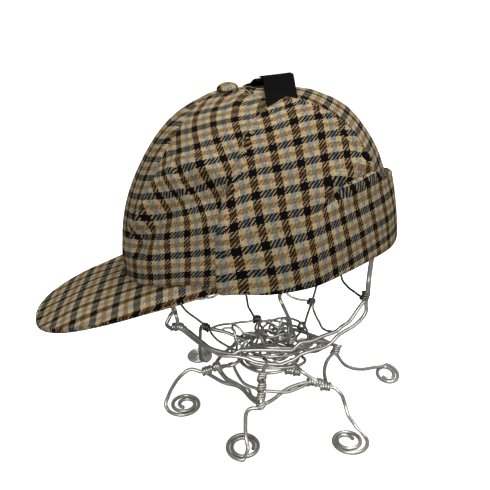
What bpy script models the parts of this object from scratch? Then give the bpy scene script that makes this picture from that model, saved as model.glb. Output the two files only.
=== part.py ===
"""Earflap cap of checked wool, folded up on a wire hat stand.

Units are metres and degrees. +Z is up, the peak points along -Y and the wearer's left is +X.
The cap is worked out in a frame of its own, whose origin is the middle of the rim, and is then
tipped and lifted onto the stand. The finished part is centred over the origin, on the floor Z = 0.
"""
import math

import bmesh
import bpy
import numpy as np
from mathutils import Matrix, Vector

# Cap: the crown, measured over its outer face
CROWN_WIDTH = 0.1665
CROWN_LENGTH = 0.2074
CROWN_HEIGHT = 0.1204
CROWN_CLOTH = 0.0020
TOP_FORWARD = 0.0102
RIM_SQUARENESS = 2.15
ROUND_FRONT = 1.85
ROUND_SIDE = 2.40
ROUND_BACK = 3.30
SIDE_SEAM_AT = 128.0
SEAM_SWAY = 24.0
EYELET = 0.0040

# Cap: peak, button, flaps and strap
PEAK_REACH = 0.0695
PEAK_HALF_WIDTH = 0.0655
PEAK_END_WIDTH = 0.0050
PEAK_END_HEIGHT = 0.0005
PEAK_SQUARENESS = 2.7
PEAK_SLOPE = 10.9
PEAK_TWIST = 4.5
PEAK_ARCH = 0.0025
PEAK_THICKNESS = 0.0040
PEAK_END_AT = 57.0
PEAK_SEAM_END_AT = 55.0
BUTTON_DIAMETER = 0.0156
BUTTON_HEIGHT = 0.0060
RIM_BLEND = 9.0
FLAP_CLOTH = 0.0028
FLAP_EASE = 0.0010
FLAP_TIP_EASE = 0.0042
FLAP_REAR_AT = 146.0
TIP_REAR_DIP = 0.090
TIP_REAR_TURN = 5.0
BAND_UP = 0.355
BAND_FLARE = 0.0012
BAND_BACK_DIP = 0.090
STRAP_WIDTH = 0.0205
STRAP_THICKNESS = 0.0014
STRAP_RISE = 0.0038
STRAP_BACK = 0.0135
STRAP_LAP = 0.0040
STRAP_SHOULDER = 0.0020
STRAP_DROP = 0.0004
STRAP_CLEAR = 0.0016
STRAP_STEPS = 6
STRAP_STAGGER = 0.0070

# How the cap sits on the stand
CAP_TIP = 6.2
CAP_BACK = -0.0022
RIM_ABOVE_FLOOR = 0.1358

# Stand
WIRE = 0.0028
HUB_HEIGHT = 0.0520
HUB_RADIUS = 0.0250
HUB_TURNS = 2.4
BASE_RING_HEIGHT = 0.0340
STAND_RIGHT = 0.0060
STAND_BACK = 0.0120
FOOT_CIRCLE = 0.1900
KNEE_LENGTH = 0.0130
FOOT_SPIRAL = 0.0280
FOOT_SPIRAL_INNER = 0.0090
FOOT_TURNS = 1.75
CAGE_EASE = 0.0040
CAGE_FULLNESS = 0.82
CAGE_TOP_UP = 0.74
LOW_RING_RISE = -0.88
RIM_RING_RISE = -0.02

# Clearances
SEAM_GAP = 0.0004
SEAT_GAP = 0.0005

# Rim of the crown along the peak: around in degrees from the front, height over the rim plane
# as a share of the crown's height
PEAK_SEAM = (
    {"around": 0.0, "height": 0.000},
    {"around": 15.0, "height": -0.002},
    {"around": 30.0, "height": 0.007},
    {"around": 42.0, "height": 0.022},
    {"around": 57.0, "height": 0.011},
)
# Lowest face of the flaps and neck band, where they fold up, read the same way
FLAP_FOLD = (
    {"around": 57.0, "height": 0.003},
    {"around": 68.0, "height": -0.004},
    {"around": 80.0, "height": -0.027},
    {"around": 94.0, "height": -0.035},
    {"around": 103.0, "height": -0.032},
    {"around": 118.0, "height": -0.004},
    {"around": 134.0, "height": 0.012},
    {"around": 150.0, "height": 0.004},
    {"around": 180.0, "height": 0.003},
)
# Front edge of a flap: how far up the crown, and where around it
FLAP_FRONT = (
    {"up": 0.00, "around": 57.5},
    {"up": 0.17, "around": 58.5},
    {"up": 0.28, "around": 60.0},
    {"up": 0.39, "around": 63.0},
    {"up": 0.47, "around": 66.0},
    {"up": 0.56, "around": 73.0},
    {"up": 0.67, "around": 83.0},
    {"up": 0.735, "around": 97.0},
    {"up": 0.757, "around": 109.0},
)
# Dents and puffs of the crown: a line from one place to another, its half width as a share of
# the crown's height and its depth as a share of it, outwards positive
CROWN_RELIEF = (
    {"around": (68.0, 46.0), "up": (0.47, 0.40), "width": 0.085, "depth": -0.030},
    {"around": (46.0, 16.0), "up": (0.38, 0.17), "width": 0.085, "depth": -0.020},
    {"around": (62.0, 34.0), "up": (0.60, 0.52), "width": 0.100, "depth": 0.004},
    {"around": (104.0, 88.0), "up": (0.90, 0.86), "width": 0.080, "depth": 0.018},
)
# Legs: where each crosses the base ring and where its foot stands, as turns from the front and as
# shares of half the foot circle; the turn at which the wire lands on its spiral, the way it then
# winds, and the spiral's size as a share of FOOT_SPIRAL
LEGS = (
    {"ring_turn": 6.0, "ring": 0.56, "turn": 3.0, "foot": 0.80, "land": 0.0, "wind": 1, "size": 1.00},
    {"ring_turn": 68.0, "ring": 0.77, "turn": 60.0, "foot": 0.85, "land": 262.0, "wind": -1, "size": 1.02},
    {"ring_turn": 115.0, "ring": 0.63, "turn": 115.0, "foot": 0.95, "land": 165.0, "wind": -1, "size": 1.04},
    {"ring_turn": 188.0, "ring": 0.58, "turn": 185.0, "foot": 1.14, "land": 255.0, "wind": -1, "size": 0.90},
    {"ring_turn": 246.0, "ring": 0.62, "turn": 233.0, "foot": 1.05, "land": 310.0, "wind": -1, "size": 0.95},
    {"ring_turn": 327.0, "ring": 0.66, "turn": 300.0, "foot": 0.98, "land": 230.0, "wind": 1, "size": 0.90},
)
# Ribs of the wire basket: turn at the hub and at the cap's rim
RIBS = (
    {"hub": 20.0, "rim": 12.0},
    {"hub": 62.0, "rim": 52.0},
    {"hub": 100.0, "rim": 96.0},
    {"hub": 140.0, "rim": 140.0},
    {"hub": 180.0, "rim": 184.0},
    {"hub": 222.0, "rim": 228.0},
    {"hub": 268.0, "rim": 270.0},
    {"hub": 318.0, "rim": 316.0},
)

CHECK_TAN = (0.46, 0.34, 0.20)
RIBBON_BLACK = (0.012, 0.012, 0.013)
WIRE_GREY = (0.46, 0.46, 0.43)


def clear_scene():
    """Empties the scene and its leftover data."""
    for obj in list(bpy.data.objects):
        bpy.data.objects.remove(obj, do_unlink=True)
    for mesh in list(bpy.data.meshes):
        bpy.data.meshes.remove(mesh)


def finish(name, colour, roughness, metallic=0.0):
    """A plain Principled material."""
    material = bpy.data.materials.new(name)
    material.use_nodes = True
    shader = material.node_tree.nodes["Principled BSDF"]
    shader.inputs["Base Color"].default_value = (*colour, 1.0)
    shader.inputs["Roughness"].default_value = roughness
    shader.inputs["Metallic"].default_value = metallic
    return material


def read_table(rows, key, column, at):
    """The value of a column where the key column equals at, smooth between rows."""
    keys = [row[key] for row in rows]
    values = [row[column] for row in rows]
    at = min(max(at, keys[0]), keys[-1])
    i = max(k for k in range(len(keys) - 1) if keys[k] <= at)
    span = keys[i + 1] - keys[i]
    t = (at - keys[i]) / span
    slope = [0.0, 0.0]
    for end, k in enumerate((i, i + 1)):
        low, high = max(k - 1, 0), min(k + 1, len(keys) - 1)
        slope[end] = (values[high] - values[low]) / (keys[high] - keys[low]) * span
    h = (2 * t - 3) * t * t
    return (
        values[i] * (1 + h)
        - values[i + 1] * h
        + slope[0] * t * (1 - t) ** 2
        - slope[1] * t * t * (1 - t)
    )


def smooth_step(low, high, at):
    """0 below low, 1 above high and an easy rise between."""
    t = min(max((at - low) / (high - low), 0.0), 1.0)
    return t * t * (3 - 2 * t)


def folded(around):
    """The same angle as a turn of 0 to 180 degrees from the front."""
    around = abs(around) % 360.0
    return min(around, 360.0 - around)


def fold_height(around):
    """Height over the rim plane of the fold at the flaps' lower edge."""
    return CROWN_HEIGHT * read_table(FLAP_FOLD, "around", "height", folded(around))


def peak_lean(across):
    """How much higher the peak and its seam sit here for leaning to the wearer's right."""
    return across * math.tan(math.radians(PEAK_TWIST))


def rim_height(around):
    """Height of the crown's lower edge: the peak's seam in front, and above the fold elsewhere."""
    seam = CROWN_HEIGHT * read_table(PEAK_SEAM, "around", "height", folded(around))
    seam += peak_lean(plain_crown(around, 0.0).x)
    over_fold = fold_height(around) + FLAP_CLOTH + SEAT_GAP
    meeting = PEAK_END_AT + (RIM_BLEND if seam > over_fold else 0.0)
    share = smooth_step(meeting - RIM_BLEND, meeting, folded(around))
    return seam + (over_fold - seam) * share


def rim_reach(turn):
    """From the middle of the rim plane to the crown's outer face, in this direction."""
    side, front = abs(math.sin(turn)), abs(math.cos(turn))
    power = RIM_SQUARENESS
    across = (side / (CROWN_WIDTH / 2)) ** power + (front / (CROWN_LENGTH / 2)) ** power
    return across ** (-1 / power)


def roundness(turn):
    """The power of the crown's upright curve: rounder in front, squarer behind."""
    front = math.cos(turn)
    ahead, behind = max(front, 0.0) ** 2, max(-front, 0.0) ** 2
    return ROUND_SIDE + (ROUND_FRONT - ROUND_SIDE) * ahead + (ROUND_BACK - ROUND_SIDE) * behind


def plain_crown(around, up):
    """A place on the crown's outer face before dents: around in degrees, up from 0 to 1."""
    turn = math.radians(around)
    curve = roundness(turn)
    lift = math.radians(90.0) * min(max(up, 0.0), 1.0)
    size = (math.cos(lift) / rim_reach(turn)) ** curve + (math.sin(lift) / CROWN_HEIGHT) ** curve
    size = size ** (-1 / curve)
    reach, height = size * math.cos(lift), size * math.sin(lift)
    height += CROWN_HEIGHT * math.radians(90.0) * min(up, 0.0)
    forward = TOP_FORWARD * (height / CROWN_HEIGHT) ** 2
    return Vector((reach * math.sin(turn), -reach * math.cos(turn) - forward, height))


def crown_over(x, y):
    """Height of the crown's outer face over a level place, dents and puffs with it."""
    low, high = 0.0, 1.0
    for _ in range(20):
        share = (low + high) / 2
        back = y + TOP_FORWARD * share ** 2
        turn = math.atan2(x, -back)
        curve = roundness(turn)
        if math.hypot(x, back) < rim_reach(turn) * (1 - share ** curve) ** (1 / curve):
            low = share
        else:
            high = share
    height = CROWN_HEIGHT * low
    up = math.atan2(height, math.hypot(x, back)) / math.radians(90.0)
    return height + max(relief(math.degrees(turn), up), 0.0)


def relief(around, up):
    """How far the soft crown stands out of its plain form here, dents negative."""
    here = Vector((math.radians(folded(around)) * CROWN_WIDTH / 2 * math.cos(up), up * CROWN_HEIGHT * 1.4))
    total = 0.0
    for row in CROWN_RELIEF:
        ends = []
        for turn, rise in zip(row["around"], row["up"]):
            ends.append(Vector((math.radians(turn) * CROWN_WIDTH / 2 * math.cos(rise), rise * CROWN_HEIGHT * 1.4)))
        run = ends[1] - ends[0]
        along = min(max((here - ends[0]).dot(run) / run.length_squared, 0.0), 1.0)
        away = (here - ends[0] - run * along).length / (row["width"] * CROWN_HEIGHT)
        total += row["depth"] * CROWN_HEIGHT * math.exp(-away * away)
    return total


def crown_point(around, up, out=0.0, dented=True):
    """A place out from the crown's outer face, along the crown's own normal."""
    step = 0.01
    low = min(up, 0.985)
    right = plain_crown(around + 1.0, low) - plain_crown(around - 1.0, low)
    upward = plain_crown(around, low + step) - plain_crown(around, low - step)
    normal = right.cross(upward).normalized()
    if dented:
        out += relief(around, up)
    return plain_crown(around, up) + normal * out


def cap_frame():
    """The move that tips the cap forward and lifts it onto the stand."""
    place = Matrix.Translation((0.0, CAP_BACK, RIM_ABOVE_FLOOR))
    return place @ Matrix.Rotation(math.radians(CAP_TIP), 4, "X")


def new_object(name, data, material, collection, place=None):
    """Links a named object that carries one material."""
    obj = bpy.data.objects.new(name, data)
    obj.data.materials.append(material)
    collection.objects.link(obj)
    if place is not None:
        obj.matrix_world = place
    return obj


def draped_grid(name, columns, rows, place, keep=None):
    """A grid whose points are moved to place(u, v); faces where keep says no are left out."""
    mesh = bpy.data.meshes.new(name)
    grid = bmesh.new()
    bmesh.ops.create_grid(grid, x_segments=columns, y_segments=rows, size=0.5)
    if keep is not None:
        unwanted = []
        for face in grid.faces:
            middle = face.calc_center_median()
            if not keep(middle.x + 0.5, middle.y + 0.5):
                unwanted.append(face)
        bmesh.ops.delete(grid, geom=unwanted, context="FACES")
    for vert in grid.verts:
        vert.co = place(vert.co.x + 0.5, vert.co.y + 0.5)
    grid.to_mesh(mesh)
    grid.free()
    mesh.shade_smooth()
    return mesh


def thicken(obj, wall, side):
    """Gives an open sheet its wall; side 1 grows along the normals, -1 against them."""
    solid = obj.modifiers.new("Wall", "SOLIDIFY")
    solid.thickness = wall
    solid.offset = side
    solid.use_quality_normals = True
    return solid


def wire_object(name, points, material, collection, closed=False):
    """A wire through a list of points; where it lies level, one of its six faces looks down."""
    curve = bpy.data.curves.new(name, "CURVE")
    curve.dimensions = "3D"
    curve.twist_mode = "Z_UP"
    curve.bevel_depth = WIRE / 2
    curve.bevel_resolution = 1
    curve.use_fill_caps = not closed
    spline = curve.splines.new("POLY")
    spline.points.add(len(points) - 1)
    for slot, point in zip(spline.points, points):
        slot.co = (*point, 1.0)
    spline.use_cyclic_u = closed
    return new_object(name, curve, material, collection)


def straight_path(corners, spans):
    """Points on the straight runs between corners, each run cut into its own number of steps."""
    points = []
    for start, end, steps in zip(corners, corners[1:], spans):
        for k in range(steps):
            points.append(start.lerp(end, k / steps))
    points.append(corners[-1])
    return points


def smooth_path(corners, steps):
    """Points of an easy curve through the corners, a number of steps to each span."""
    points = []
    last = len(corners) - 1
    for i in range(last):
        before, start = corners[max(i - 1, 0)], corners[i]
        end, after = corners[i + 1], corners[min(i + 2, last)]
        for k in range(steps):
            t = k / steps
            leave, arrive = (end - before) / 2, (after - start) / 2
            blend = (2 * t - 3) * t * t
            point = start * (1 + blend) - end * blend
            point += leave * (t * (1 - t) ** 2) - arrive * (t * t * (1 - t))
            points.append(point)
    points.append(corners[-1])
    return points


def seam_turn(seam, up):
    """Where a seam runs at this height; the front seam sways towards the wearer's left."""
    if seam == 0.0:
        return SEAM_SWAY * smooth_step(0.02, 0.46, up) * (1 - smooth_step(0.72, 0.98, up))
    return seam


def crown_panel(name, start, end, columns, rows, material, collection):
    """One sewn panel of the crown, from one seam to the next."""
    top_up = 1.0 - EYELET / (CROWN_LENGTH / 2)

    def place(u, v):
        up = v * top_up
        low, high = seam_turn(start, up), seam_turn(end, up)
        reach = plain_crown(start, up).xy.length
        ease = math.degrees(SEAM_GAP / max(reach, EYELET))
        low, high = low + ease, high - ease
        around = low + (high - low) * u
        point = crown_point(around, up)
        point.z += rim_height(around) * (1 - v) ** 3
        return point

    mesh = draped_grid(name, columns, rows, place)
    panel = new_object(name, mesh, material, collection, cap_frame())
    thicken(panel, CROWN_CLOTH, -1.0)
    return panel


def build_crown(material, collection):
    """Four panels: two in front with a seam between them, two behind."""
    side = SIDE_SEAM_AT
    crown_panel("crown_front_left", 0.0, side, 16, 13, material, collection)
    crown_panel("crown_back_left", side, 180.0, 6, 13, material, collection)
    crown_panel("crown_back_right", 180.0, 360.0 - side, 6, 13, material, collection)
    crown_panel("crown_front_right", -side, 0.0, 16, 13, material, collection)


def build_button(material, collection):
    """The covered button over the point where the panels meet."""
    profile = (
        (0.00, 1.00),
        (0.45, 0.95),
        (0.80, 0.72),
        (0.98, 0.38),
        (0.96, 0.14),
        (0.86, 0.00),
        (0.00, 0.00),
    )
    mesh = bpy.data.meshes.new("top_button")
    outline = bmesh.new()
    corners = []
    for share, height in profile:
        corners.append(outline.verts.new((share * BUTTON_DIAMETER / 2, 0.0, height * BUTTON_HEIGHT)))
    for first, second in zip(corners, corners[1:]):
        outline.edges.new((first, second))
    outline.to_mesh(mesh)
    outline.free()
    top = plain_crown(0.0, 1.0) + Vector((0.0, 0.0, SEAT_GAP))
    button = new_object("top_button", mesh, material, collection, cap_frame() @ Matrix.Translation(top))
    screw = button.modifiers.new("Turned", "SCREW")
    screw.steps = 14
    screw.render_steps = 14
    screw.use_merge_vertices = True
    screw.merge_threshold = 0.00005
    return button


def peak_edge(u):
    """A place on the peak's outer edge, u from -1 at one end through 0 in front to 1."""
    turn = math.radians(90.0) * u
    power = 2.0 / PEAK_SQUARENESS
    forward = abs(math.cos(turn)) ** power
    end = crown_point(PEAK_END_AT, 0.0, PEAK_END_WIDTH, dented=False)
    half = PEAK_HALF_WIDTH + (end.x - PEAK_HALF_WIDTH) * (1 - forward)
    across = math.copysign(abs(math.sin(turn)) ** power, u) * half
    ahead = (CROWN_LENGTH / 2 + PEAK_REACH + end.y) * forward
    height = PEAK_END_HEIGHT - ahead * math.tan(math.radians(PEAK_SLOPE)) + peak_lean(across)
    return Vector((across, end.y - ahead, height))


def build_peak(material, collection):
    """The stiffened peak, from under the crown's front seam to its round outer edge."""

    def place(u, v):
        along = 2 * u - 1
        around = along * PEAK_SEAM_END_AT
        seam = crown_point(around, 0.0, -CROWN_CLOTH / 2, dented=False)
        seam.z = rim_height(around) - SEAT_GAP - PEAK_THICKNESS / 2
        point = seam.lerp(peak_edge(along), v)
        point.z += PEAK_ARCH * math.sin(math.pi * v) * (1 - along * along)
        return point

    mesh = draped_grid("peak", 30, 5, place)
    peak = new_object("peak", mesh, material, collection, cap_frame())
    thicken(peak, PEAK_THICKNESS, 0.0)
    return peak


def flap_out(around, up):
    """How far the flap's inner face stands off the crown."""
    out = FLAP_EASE
    back = smooth_step(104.0, FLAP_REAR_AT, around)
    if up <= BAND_UP:
        out += BAND_FLARE * back * smooth_step(0.02, BAND_UP, up)
    else:
        out += BAND_FLARE * back * (1 - smooth_step(BAND_UP, BAND_UP + 0.05, up))
    out += (FLAP_TIP_EASE - FLAP_EASE) * smooth_step(0.55, 0.74, up)
    return out


def build_flap(name, hand, material, collection):
    """One earflap with its half of the neck band, turned up over the crown in one piece.

    The lowest row of its grid is the lip that folds in under the crown's edge.
    """
    columns, lobe_columns = 21, 15
    rows, band_rows = 15, 8
    lobe_share, lip_share, band_share = lobe_columns / columns, 1 / rows, band_rows / rows
    tip_up = FLAP_FRONT[-1]["up"]
    back_end = 180.0 - math.degrees(SEAM_GAP / (CROWN_LENGTH / 2))

    def height_up(v):
        """How far up the crown this row of the flap lies."""
        if v <= band_share:
            return BAND_UP * max(v - lip_share, 0.0) / (band_share - lip_share)
        return BAND_UP + (tip_up - BAND_UP) * (v - band_share) / (1 - band_share)

    def place(u, v):
        up = height_up(v)
        front = read_table(FLAP_FRONT, "up", "around", up)
        if u < lobe_share + 0.5 / columns:
            share = min(u / lobe_share, 1.0)
            rear = FLAP_REAR_AT - TIP_REAR_TURN * smooth_step(0.60, tip_up, up)
            around = front + (rear - front) * share
            up -= TIP_REAR_DIP * smooth_step(0.3, 1.0, share) * smooth_step(0.55, tip_up, up)
        else:
            share = (u - lobe_share) / (1 - lobe_share)
            around = FLAP_REAR_AT + (back_end - FLAP_REAR_AT) * share
            up -= BAND_BACK_DIP * share * up / BAND_UP
        out = flap_out(around, up) if v > lip_share / 2 else -CROWN_CLOTH
        point = crown_point(around, up, out + max(relief(around, up), 0.0), dented=False)
        lowest = fold_height(around) + FLAP_CLOTH
        point.z += lowest * (1 - smooth_step(0.0, BAND_UP, up))
        point.x *= hand
        return point

    def keep(u, v):
        return u < lobe_share or v < band_share

    mesh = draped_grid(name, columns, rows, place, keep)
    flap = new_object(name, mesh, material, collection, cap_frame())
    thicken(flap, FLAP_CLOTH, hand)
    return flap


def strap_lines(hand, over):
    """Corner points of one ribbon's two edges, from its tuck under the flap to past the ridge."""
    tip_up = FLAP_FRONT[-1]["up"]
    height = CROWN_HEIGHT + STRAP_RISE + (STRAP_THICKNESS + SEAT_GAP if over else 0.0)
    back = STRAP_BACK + (STRAP_STAGGER if over else 0.0)
    lines = []
    for around, shift in ((112.0, 0.0), (135.0, STRAP_WIDTH)):
        tucked = crown_point(around, tip_up - 0.10, SEAT_GAP * 2)
        tip = crown_point(around, tip_up - 0.01, SEAT_GAP * 2)
        shoulder = Vector((STRAP_LAP + STRAP_SHOULDER, back + shift, height - STRAP_DROP))
        ridge = Vector((0.0, back + shift, height))
        end = Vector((-STRAP_LAP, back + shift, height - STRAP_DROP))
        line = [tucked, tip, shoulder, ridge, end]
        for point in line:
            point.x *= hand
        lines.append(line)
    return lines


def build_strap(name, hand, over, material, collection):
    """A black ribbon that ties a flap's tip over the top of the crown."""
    front, rear = strap_lines(hand, over)
    spans = (1, STRAP_STEPS, 1, 1)
    front, rear = straight_path(front, spans), straight_path(rear, spans)
    last = len(front) - 1

    def place(u, v):
        step = round(v * last)
        point = front[step].lerp(rear[step], u)
        point.z = max(point.z, crown_over(point.x, point.y) + STRAP_CLEAR)
        return point

    mesh = draped_grid(name, 3, last, place)
    strap = new_object(name, mesh, material, collection, cap_frame())
    thicken(strap, STRAP_THICKNESS, hand)
    return strap


def spiral(centre, start, wind, outer, inner, turns, steps):
    """Points of a flat spiral that starts at a turn from the front and closes in as it winds."""
    points = []
    count = int(turns * steps)
    for k in range(count + 1):
        share = k / count
        reach = outer + (inner - outer) * share
        points.append(centre + heading(start + 360.0 * turns * share * wind) * reach)
    return points


def stand_centre():
    return Vector((-STAND_RIGHT, STAND_BACK, 0.0))


def heading(turn):
    """The level direction at this turn from the front."""
    return Vector((math.sin(math.radians(turn)), -math.cos(math.radians(turn)), 0.0))


def ring_corner(row):
    """The corner of the base ring that a leg crosses."""
    reach = row["ring"] * FOOT_CIRCLE / 2
    return stand_centre() + heading(row["ring_turn"]) * reach + Vector((0.0, 0.0, BASE_RING_HEIGHT))


def build_leg(number, row, material, collection):
    """One wire: from under the hub, over the base ring, down to a spiral foot."""
    outer = row["size"] * FOOT_SPIRAL / 2 - WIRE / 2
    middle = stand_centre()
    foot = middle + heading(row["turn"]) * (row["foot"] * FOOT_CIRCLE / 2)
    foot.z = WIRE / 2
    landing = foot + heading(row["land"]) * outer
    glide = heading(row["land"] + 90.0 * row["wind"])
    crossing = ring_corner(row) + Vector((0.0, 0.0, WIRE + SEAM_GAP))
    run = landing - crossing
    outward = Vector((run.x, run.y, 0.0)).normalized()
    hub_side = heading(row["ring_turn"])
    under_hub = HUB_HEIGHT - WIRE - SEAM_GAP
    corners = [
        middle + hub_side * HUB_RADIUS * 0.70 + Vector((0.0, 0.0, under_hub)),
        middle + hub_side * HUB_RADIUS * 1.10 + Vector((0.0, 0.0, under_hub - WIRE * 0.5)),
        crossing,
        crossing + outward * KNEE_LENGTH,
        crossing.lerp(landing, 0.62) - glide * outer * 0.5,
        landing - glide * outer * 0.45 + Vector((0.0, 0.0, WIRE * 0.8)),
        landing,
    ]
    points = smooth_path(corners, 3)[:-1]
    points += spiral(foot, row["land"], row["wind"], outer, FOOT_SPIRAL_INNER / 2, FOOT_TURNS, 9)
    wire_object(f"stand_leg_{number}", points, material, collection)


def build_base_ring(material, collection):
    """The six-cornered ring that ties the legs together, under their knees."""
    points = []
    for row, following in zip(LEGS, LEGS[1:] + LEGS[:1]):
        here, there = ring_corner(row), ring_corner(following)
        for share in (0.0, 0.15, 0.85):
            points.append(here.lerp(there, share))
    wire_object("stand_base_ring", points, material, collection, closed=True)


def build_hub(material, collection):
    """A flat coil in the middle, over the legs and under the ribs."""
    centre = stand_centre() + Vector((0.0, 0.0, HUB_HEIGHT))
    points = spiral(centre, 0.0, 1, HUB_RADIUS, HUB_RADIUS * 0.36, HUB_TURNS, 12)
    wire_object("stand_hub_coil", points, material, collection)


def cage_in_cap(around, share):
    """A place on the cage inside the crown: share 0 at the rim, 1 at the top ring."""
    ease = CAGE_EASE * (1 - share) ** 1.5
    inward = CROWN_CLOTH + SEAT_GAP * 3 + WIRE * 1.5 + ease
    point = crown_point(around, CAGE_TOP_UP * share, -inward, dented=False)
    return cap_frame() @ point


def cage_point(around, rise, out=0.0):
    """A place on the wire cage: rise -1 at the hub, 0 at the cap's rim and 1 at the top."""

    def plain(turn, level):
        if level >= 0.0:
            return cage_in_cap(turn, level)
        rim = cage_in_cap(turn, 0.0)
        foot = stand_centre() + Vector((0.0, 0.0, HUB_HEIGHT + WIRE))
        flat = rim - foot
        closing = math.acos(min(HUB_RADIUS * 0.85 / flat.xy.length, 1.0) ** (1 / CAGE_FULLNESS))
        swing = -level * closing
        near = math.cos(swing) ** CAGE_FULLNESS
        height = flat.z * (1 - math.sin(swing) ** CAGE_FULLNESS)
        return Vector((foot.x + flat.x * near, foot.y + flat.y * near, foot.z + height))

    here = plain(around, rise)
    if out == 0.0:
        return here
    across = plain(around + 2.0, rise) - plain(around - 2.0, rise)
    upward = plain(around, rise + 0.02) - plain(around, rise - 0.02)
    return here + across.cross(upward).normalized() * out


def build_ribs(material, collection):
    """Eight wires that rise from the hub, bow out to the rim and close over the top."""
    for number, row in enumerate(RIBS, 1):
        start = stand_centre() + Vector((0.0, 0.0, HUB_HEIGHT + WIRE))
        points = []
        for share in (0.5, 0.85):
            points.append(start + heading(row["hub"]) * HUB_RADIUS * share)
        for k in range(1, 9):
            rise = -1.0 + k / 9.0
            share = 1.0 + rise
            around = row["hub"] + (row["rim"] - row["hub"]) * share
            points.append(cage_point(around, rise))
        for k in range(8):
            points.append(cage_point(row["rim"], k / 7.0))
        wire_object(f"stand_rib_{number}", points, material, collection)


def build_rings(material, collection):
    """Rings that lie on the ribs, one low, one at the rim and one under the crown's top."""
    rows = (
        ("stand_ring_low", LOW_RING_RISE, 24),
        ("stand_ring_rim", RIM_RING_RISE, 32),
        ("stand_ring_top", 0.97, 24),
    )
    for name, rise, count in rows:
        points = []
        for k in range(count):
            points.append(cage_point(360.0 * k / count, rise, WIRE + SEAT_GAP))
        wire_object(name, points, material, collection, closed=True)


def stand_on_origin(collection):
    """Centres the finished part over the origin and sets it on the floor."""
    bpy.context.view_layer.update()
    graph = bpy.context.evaluated_depsgraph_get()
    corners = []
    for obj in collection.objects:
        shown = obj.evaluated_get(graph)
        mesh = shown.to_mesh()
        points = np.empty(len(mesh.vertices) * 3, np.float32)
        mesh.vertices.foreach_get("co", points)
        world = np.array(obj.matrix_world)
        points = points.reshape(-1, 3) @ world[:3, :3].T + world[:3, 3]
        corners += [points.min(axis=0), points.max(axis=0)]
        shown.to_mesh_clear()
    low, high = np.min(corners, axis=0), np.max(corners, axis=0)
    shift = Matrix.Translation((-(low[0] + high[0]) / 2, -(low[1] + high[1]) / 2, -low[2]))
    for obj in collection.objects:
        obj.matrix_world = shift @ obj.matrix_world
    bpy.context.view_layer.update()
    print("shift", [round(value, 5) for value in shift.translation])


def build():
    clear_scene()
    collection = bpy.data.collections.new("earflap_cap_on_stand")
    bpy.context.scene.collection.children.link(collection)
    wool = finish("Checked wool", CHECK_TAN, 0.9)
    ribbon = finish("Black ribbon", RIBBON_BLACK, 0.7)
    wire = finish("Silver wire", WIRE_GREY, 0.38, 1.0)
    build_crown(wool, collection)
    build_button(wool, collection)
    build_peak(wool, collection)
    build_flap("earflap_left", 1, wool, collection)
    build_flap("earflap_right", -1, wool, collection)
    build_strap("strap_left", 1, True, ribbon, collection)
    build_strap("strap_right", -1, False, ribbon, collection)
    for number, row in enumerate(LEGS, 1):
        build_leg(number, row, wire, collection)
    build_base_ring(wire, collection)
    build_hub(wire, collection)
    build_ribs(wire, collection)
    build_rings(wire, collection)
    stand_on_origin(collection)


build()
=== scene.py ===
# %% [markdown]
# # A checked earflap cap on a wire hat stand
# The solids come first, as a frame that never moves. Each cloth piece and each wire is then made
# again in full detail over its own solid, so that the cap looks sewn and the stand looks bent.

# %% Load the frame
import math

import bpy
import numpy as np
from mathutils import Matrix, Vector
from mathutils.kdtree import KDTree


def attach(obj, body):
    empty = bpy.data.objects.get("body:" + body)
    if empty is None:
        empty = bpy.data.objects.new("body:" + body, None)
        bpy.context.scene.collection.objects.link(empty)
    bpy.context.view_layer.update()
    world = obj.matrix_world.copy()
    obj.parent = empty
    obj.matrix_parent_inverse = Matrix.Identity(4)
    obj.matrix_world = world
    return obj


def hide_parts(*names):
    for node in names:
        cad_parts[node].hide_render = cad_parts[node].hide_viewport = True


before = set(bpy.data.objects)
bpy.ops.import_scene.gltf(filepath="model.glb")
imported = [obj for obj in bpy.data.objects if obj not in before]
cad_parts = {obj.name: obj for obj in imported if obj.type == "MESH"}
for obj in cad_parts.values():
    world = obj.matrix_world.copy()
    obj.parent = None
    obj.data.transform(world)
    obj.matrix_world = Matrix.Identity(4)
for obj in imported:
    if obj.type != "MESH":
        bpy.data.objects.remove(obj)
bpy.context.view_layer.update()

print("solids:", len(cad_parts))

# %% [markdown]
# ## The form of the cap
# A real cap is cut flat and takes its form from its seams and the head or stand inside it. Here one
# rule gives the crown's outer face: an oval rim that closes upwards, rounder in front and squarer
# behind. Every cloth piece is laid over this one form, as the real pieces are.

# %% Sizes of the crown, in metres, and turns from the front, in degrees
CROWN_WIDTH = 0.1665
CROWN_LENGTH = 0.2074
CROWN_HEIGHT = 0.1204
CROWN_CLOTH = 0.0020
TOP_FORWARD = 0.0102
RIM_SQUARENESS = 2.15
ROUND_FRONT, ROUND_SIDE, ROUND_BACK = 1.85, 2.40, 3.30
SIDE_SEAM_AT = 128.0
SEAM_SWAY = 24.0
PEAK_TWIST = 4.5
CAP_TIP = 6.2
# where the middle of the rim lies, once the part stands centred on the floor
CAP_AT = (0.00488, 0.01849, 0.13561)

# the crown's lower edges: around in degrees, height in shares of the crown's height
PEAK_SEAM = (
    {"around": 0.0, "height": 0.000},
    {"around": 15.0, "height": -0.002},
    {"around": 30.0, "height": 0.007},
    {"around": 42.0, "height": 0.022},
    {"around": 57.0, "height": 0.011},
)
FLAP_FOLD = (
    {"around": 57.0, "height": 0.003},
    {"around": 68.0, "height": -0.004},
    {"around": 80.0, "height": -0.027},
    {"around": 94.0, "height": -0.035},
    {"around": 103.0, "height": -0.032},
    {"around": 118.0, "height": -0.004},
    {"around": 134.0, "height": 0.012},
    {"around": 150.0, "height": 0.004},
    {"around": 180.0, "height": 0.003},
)
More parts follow.
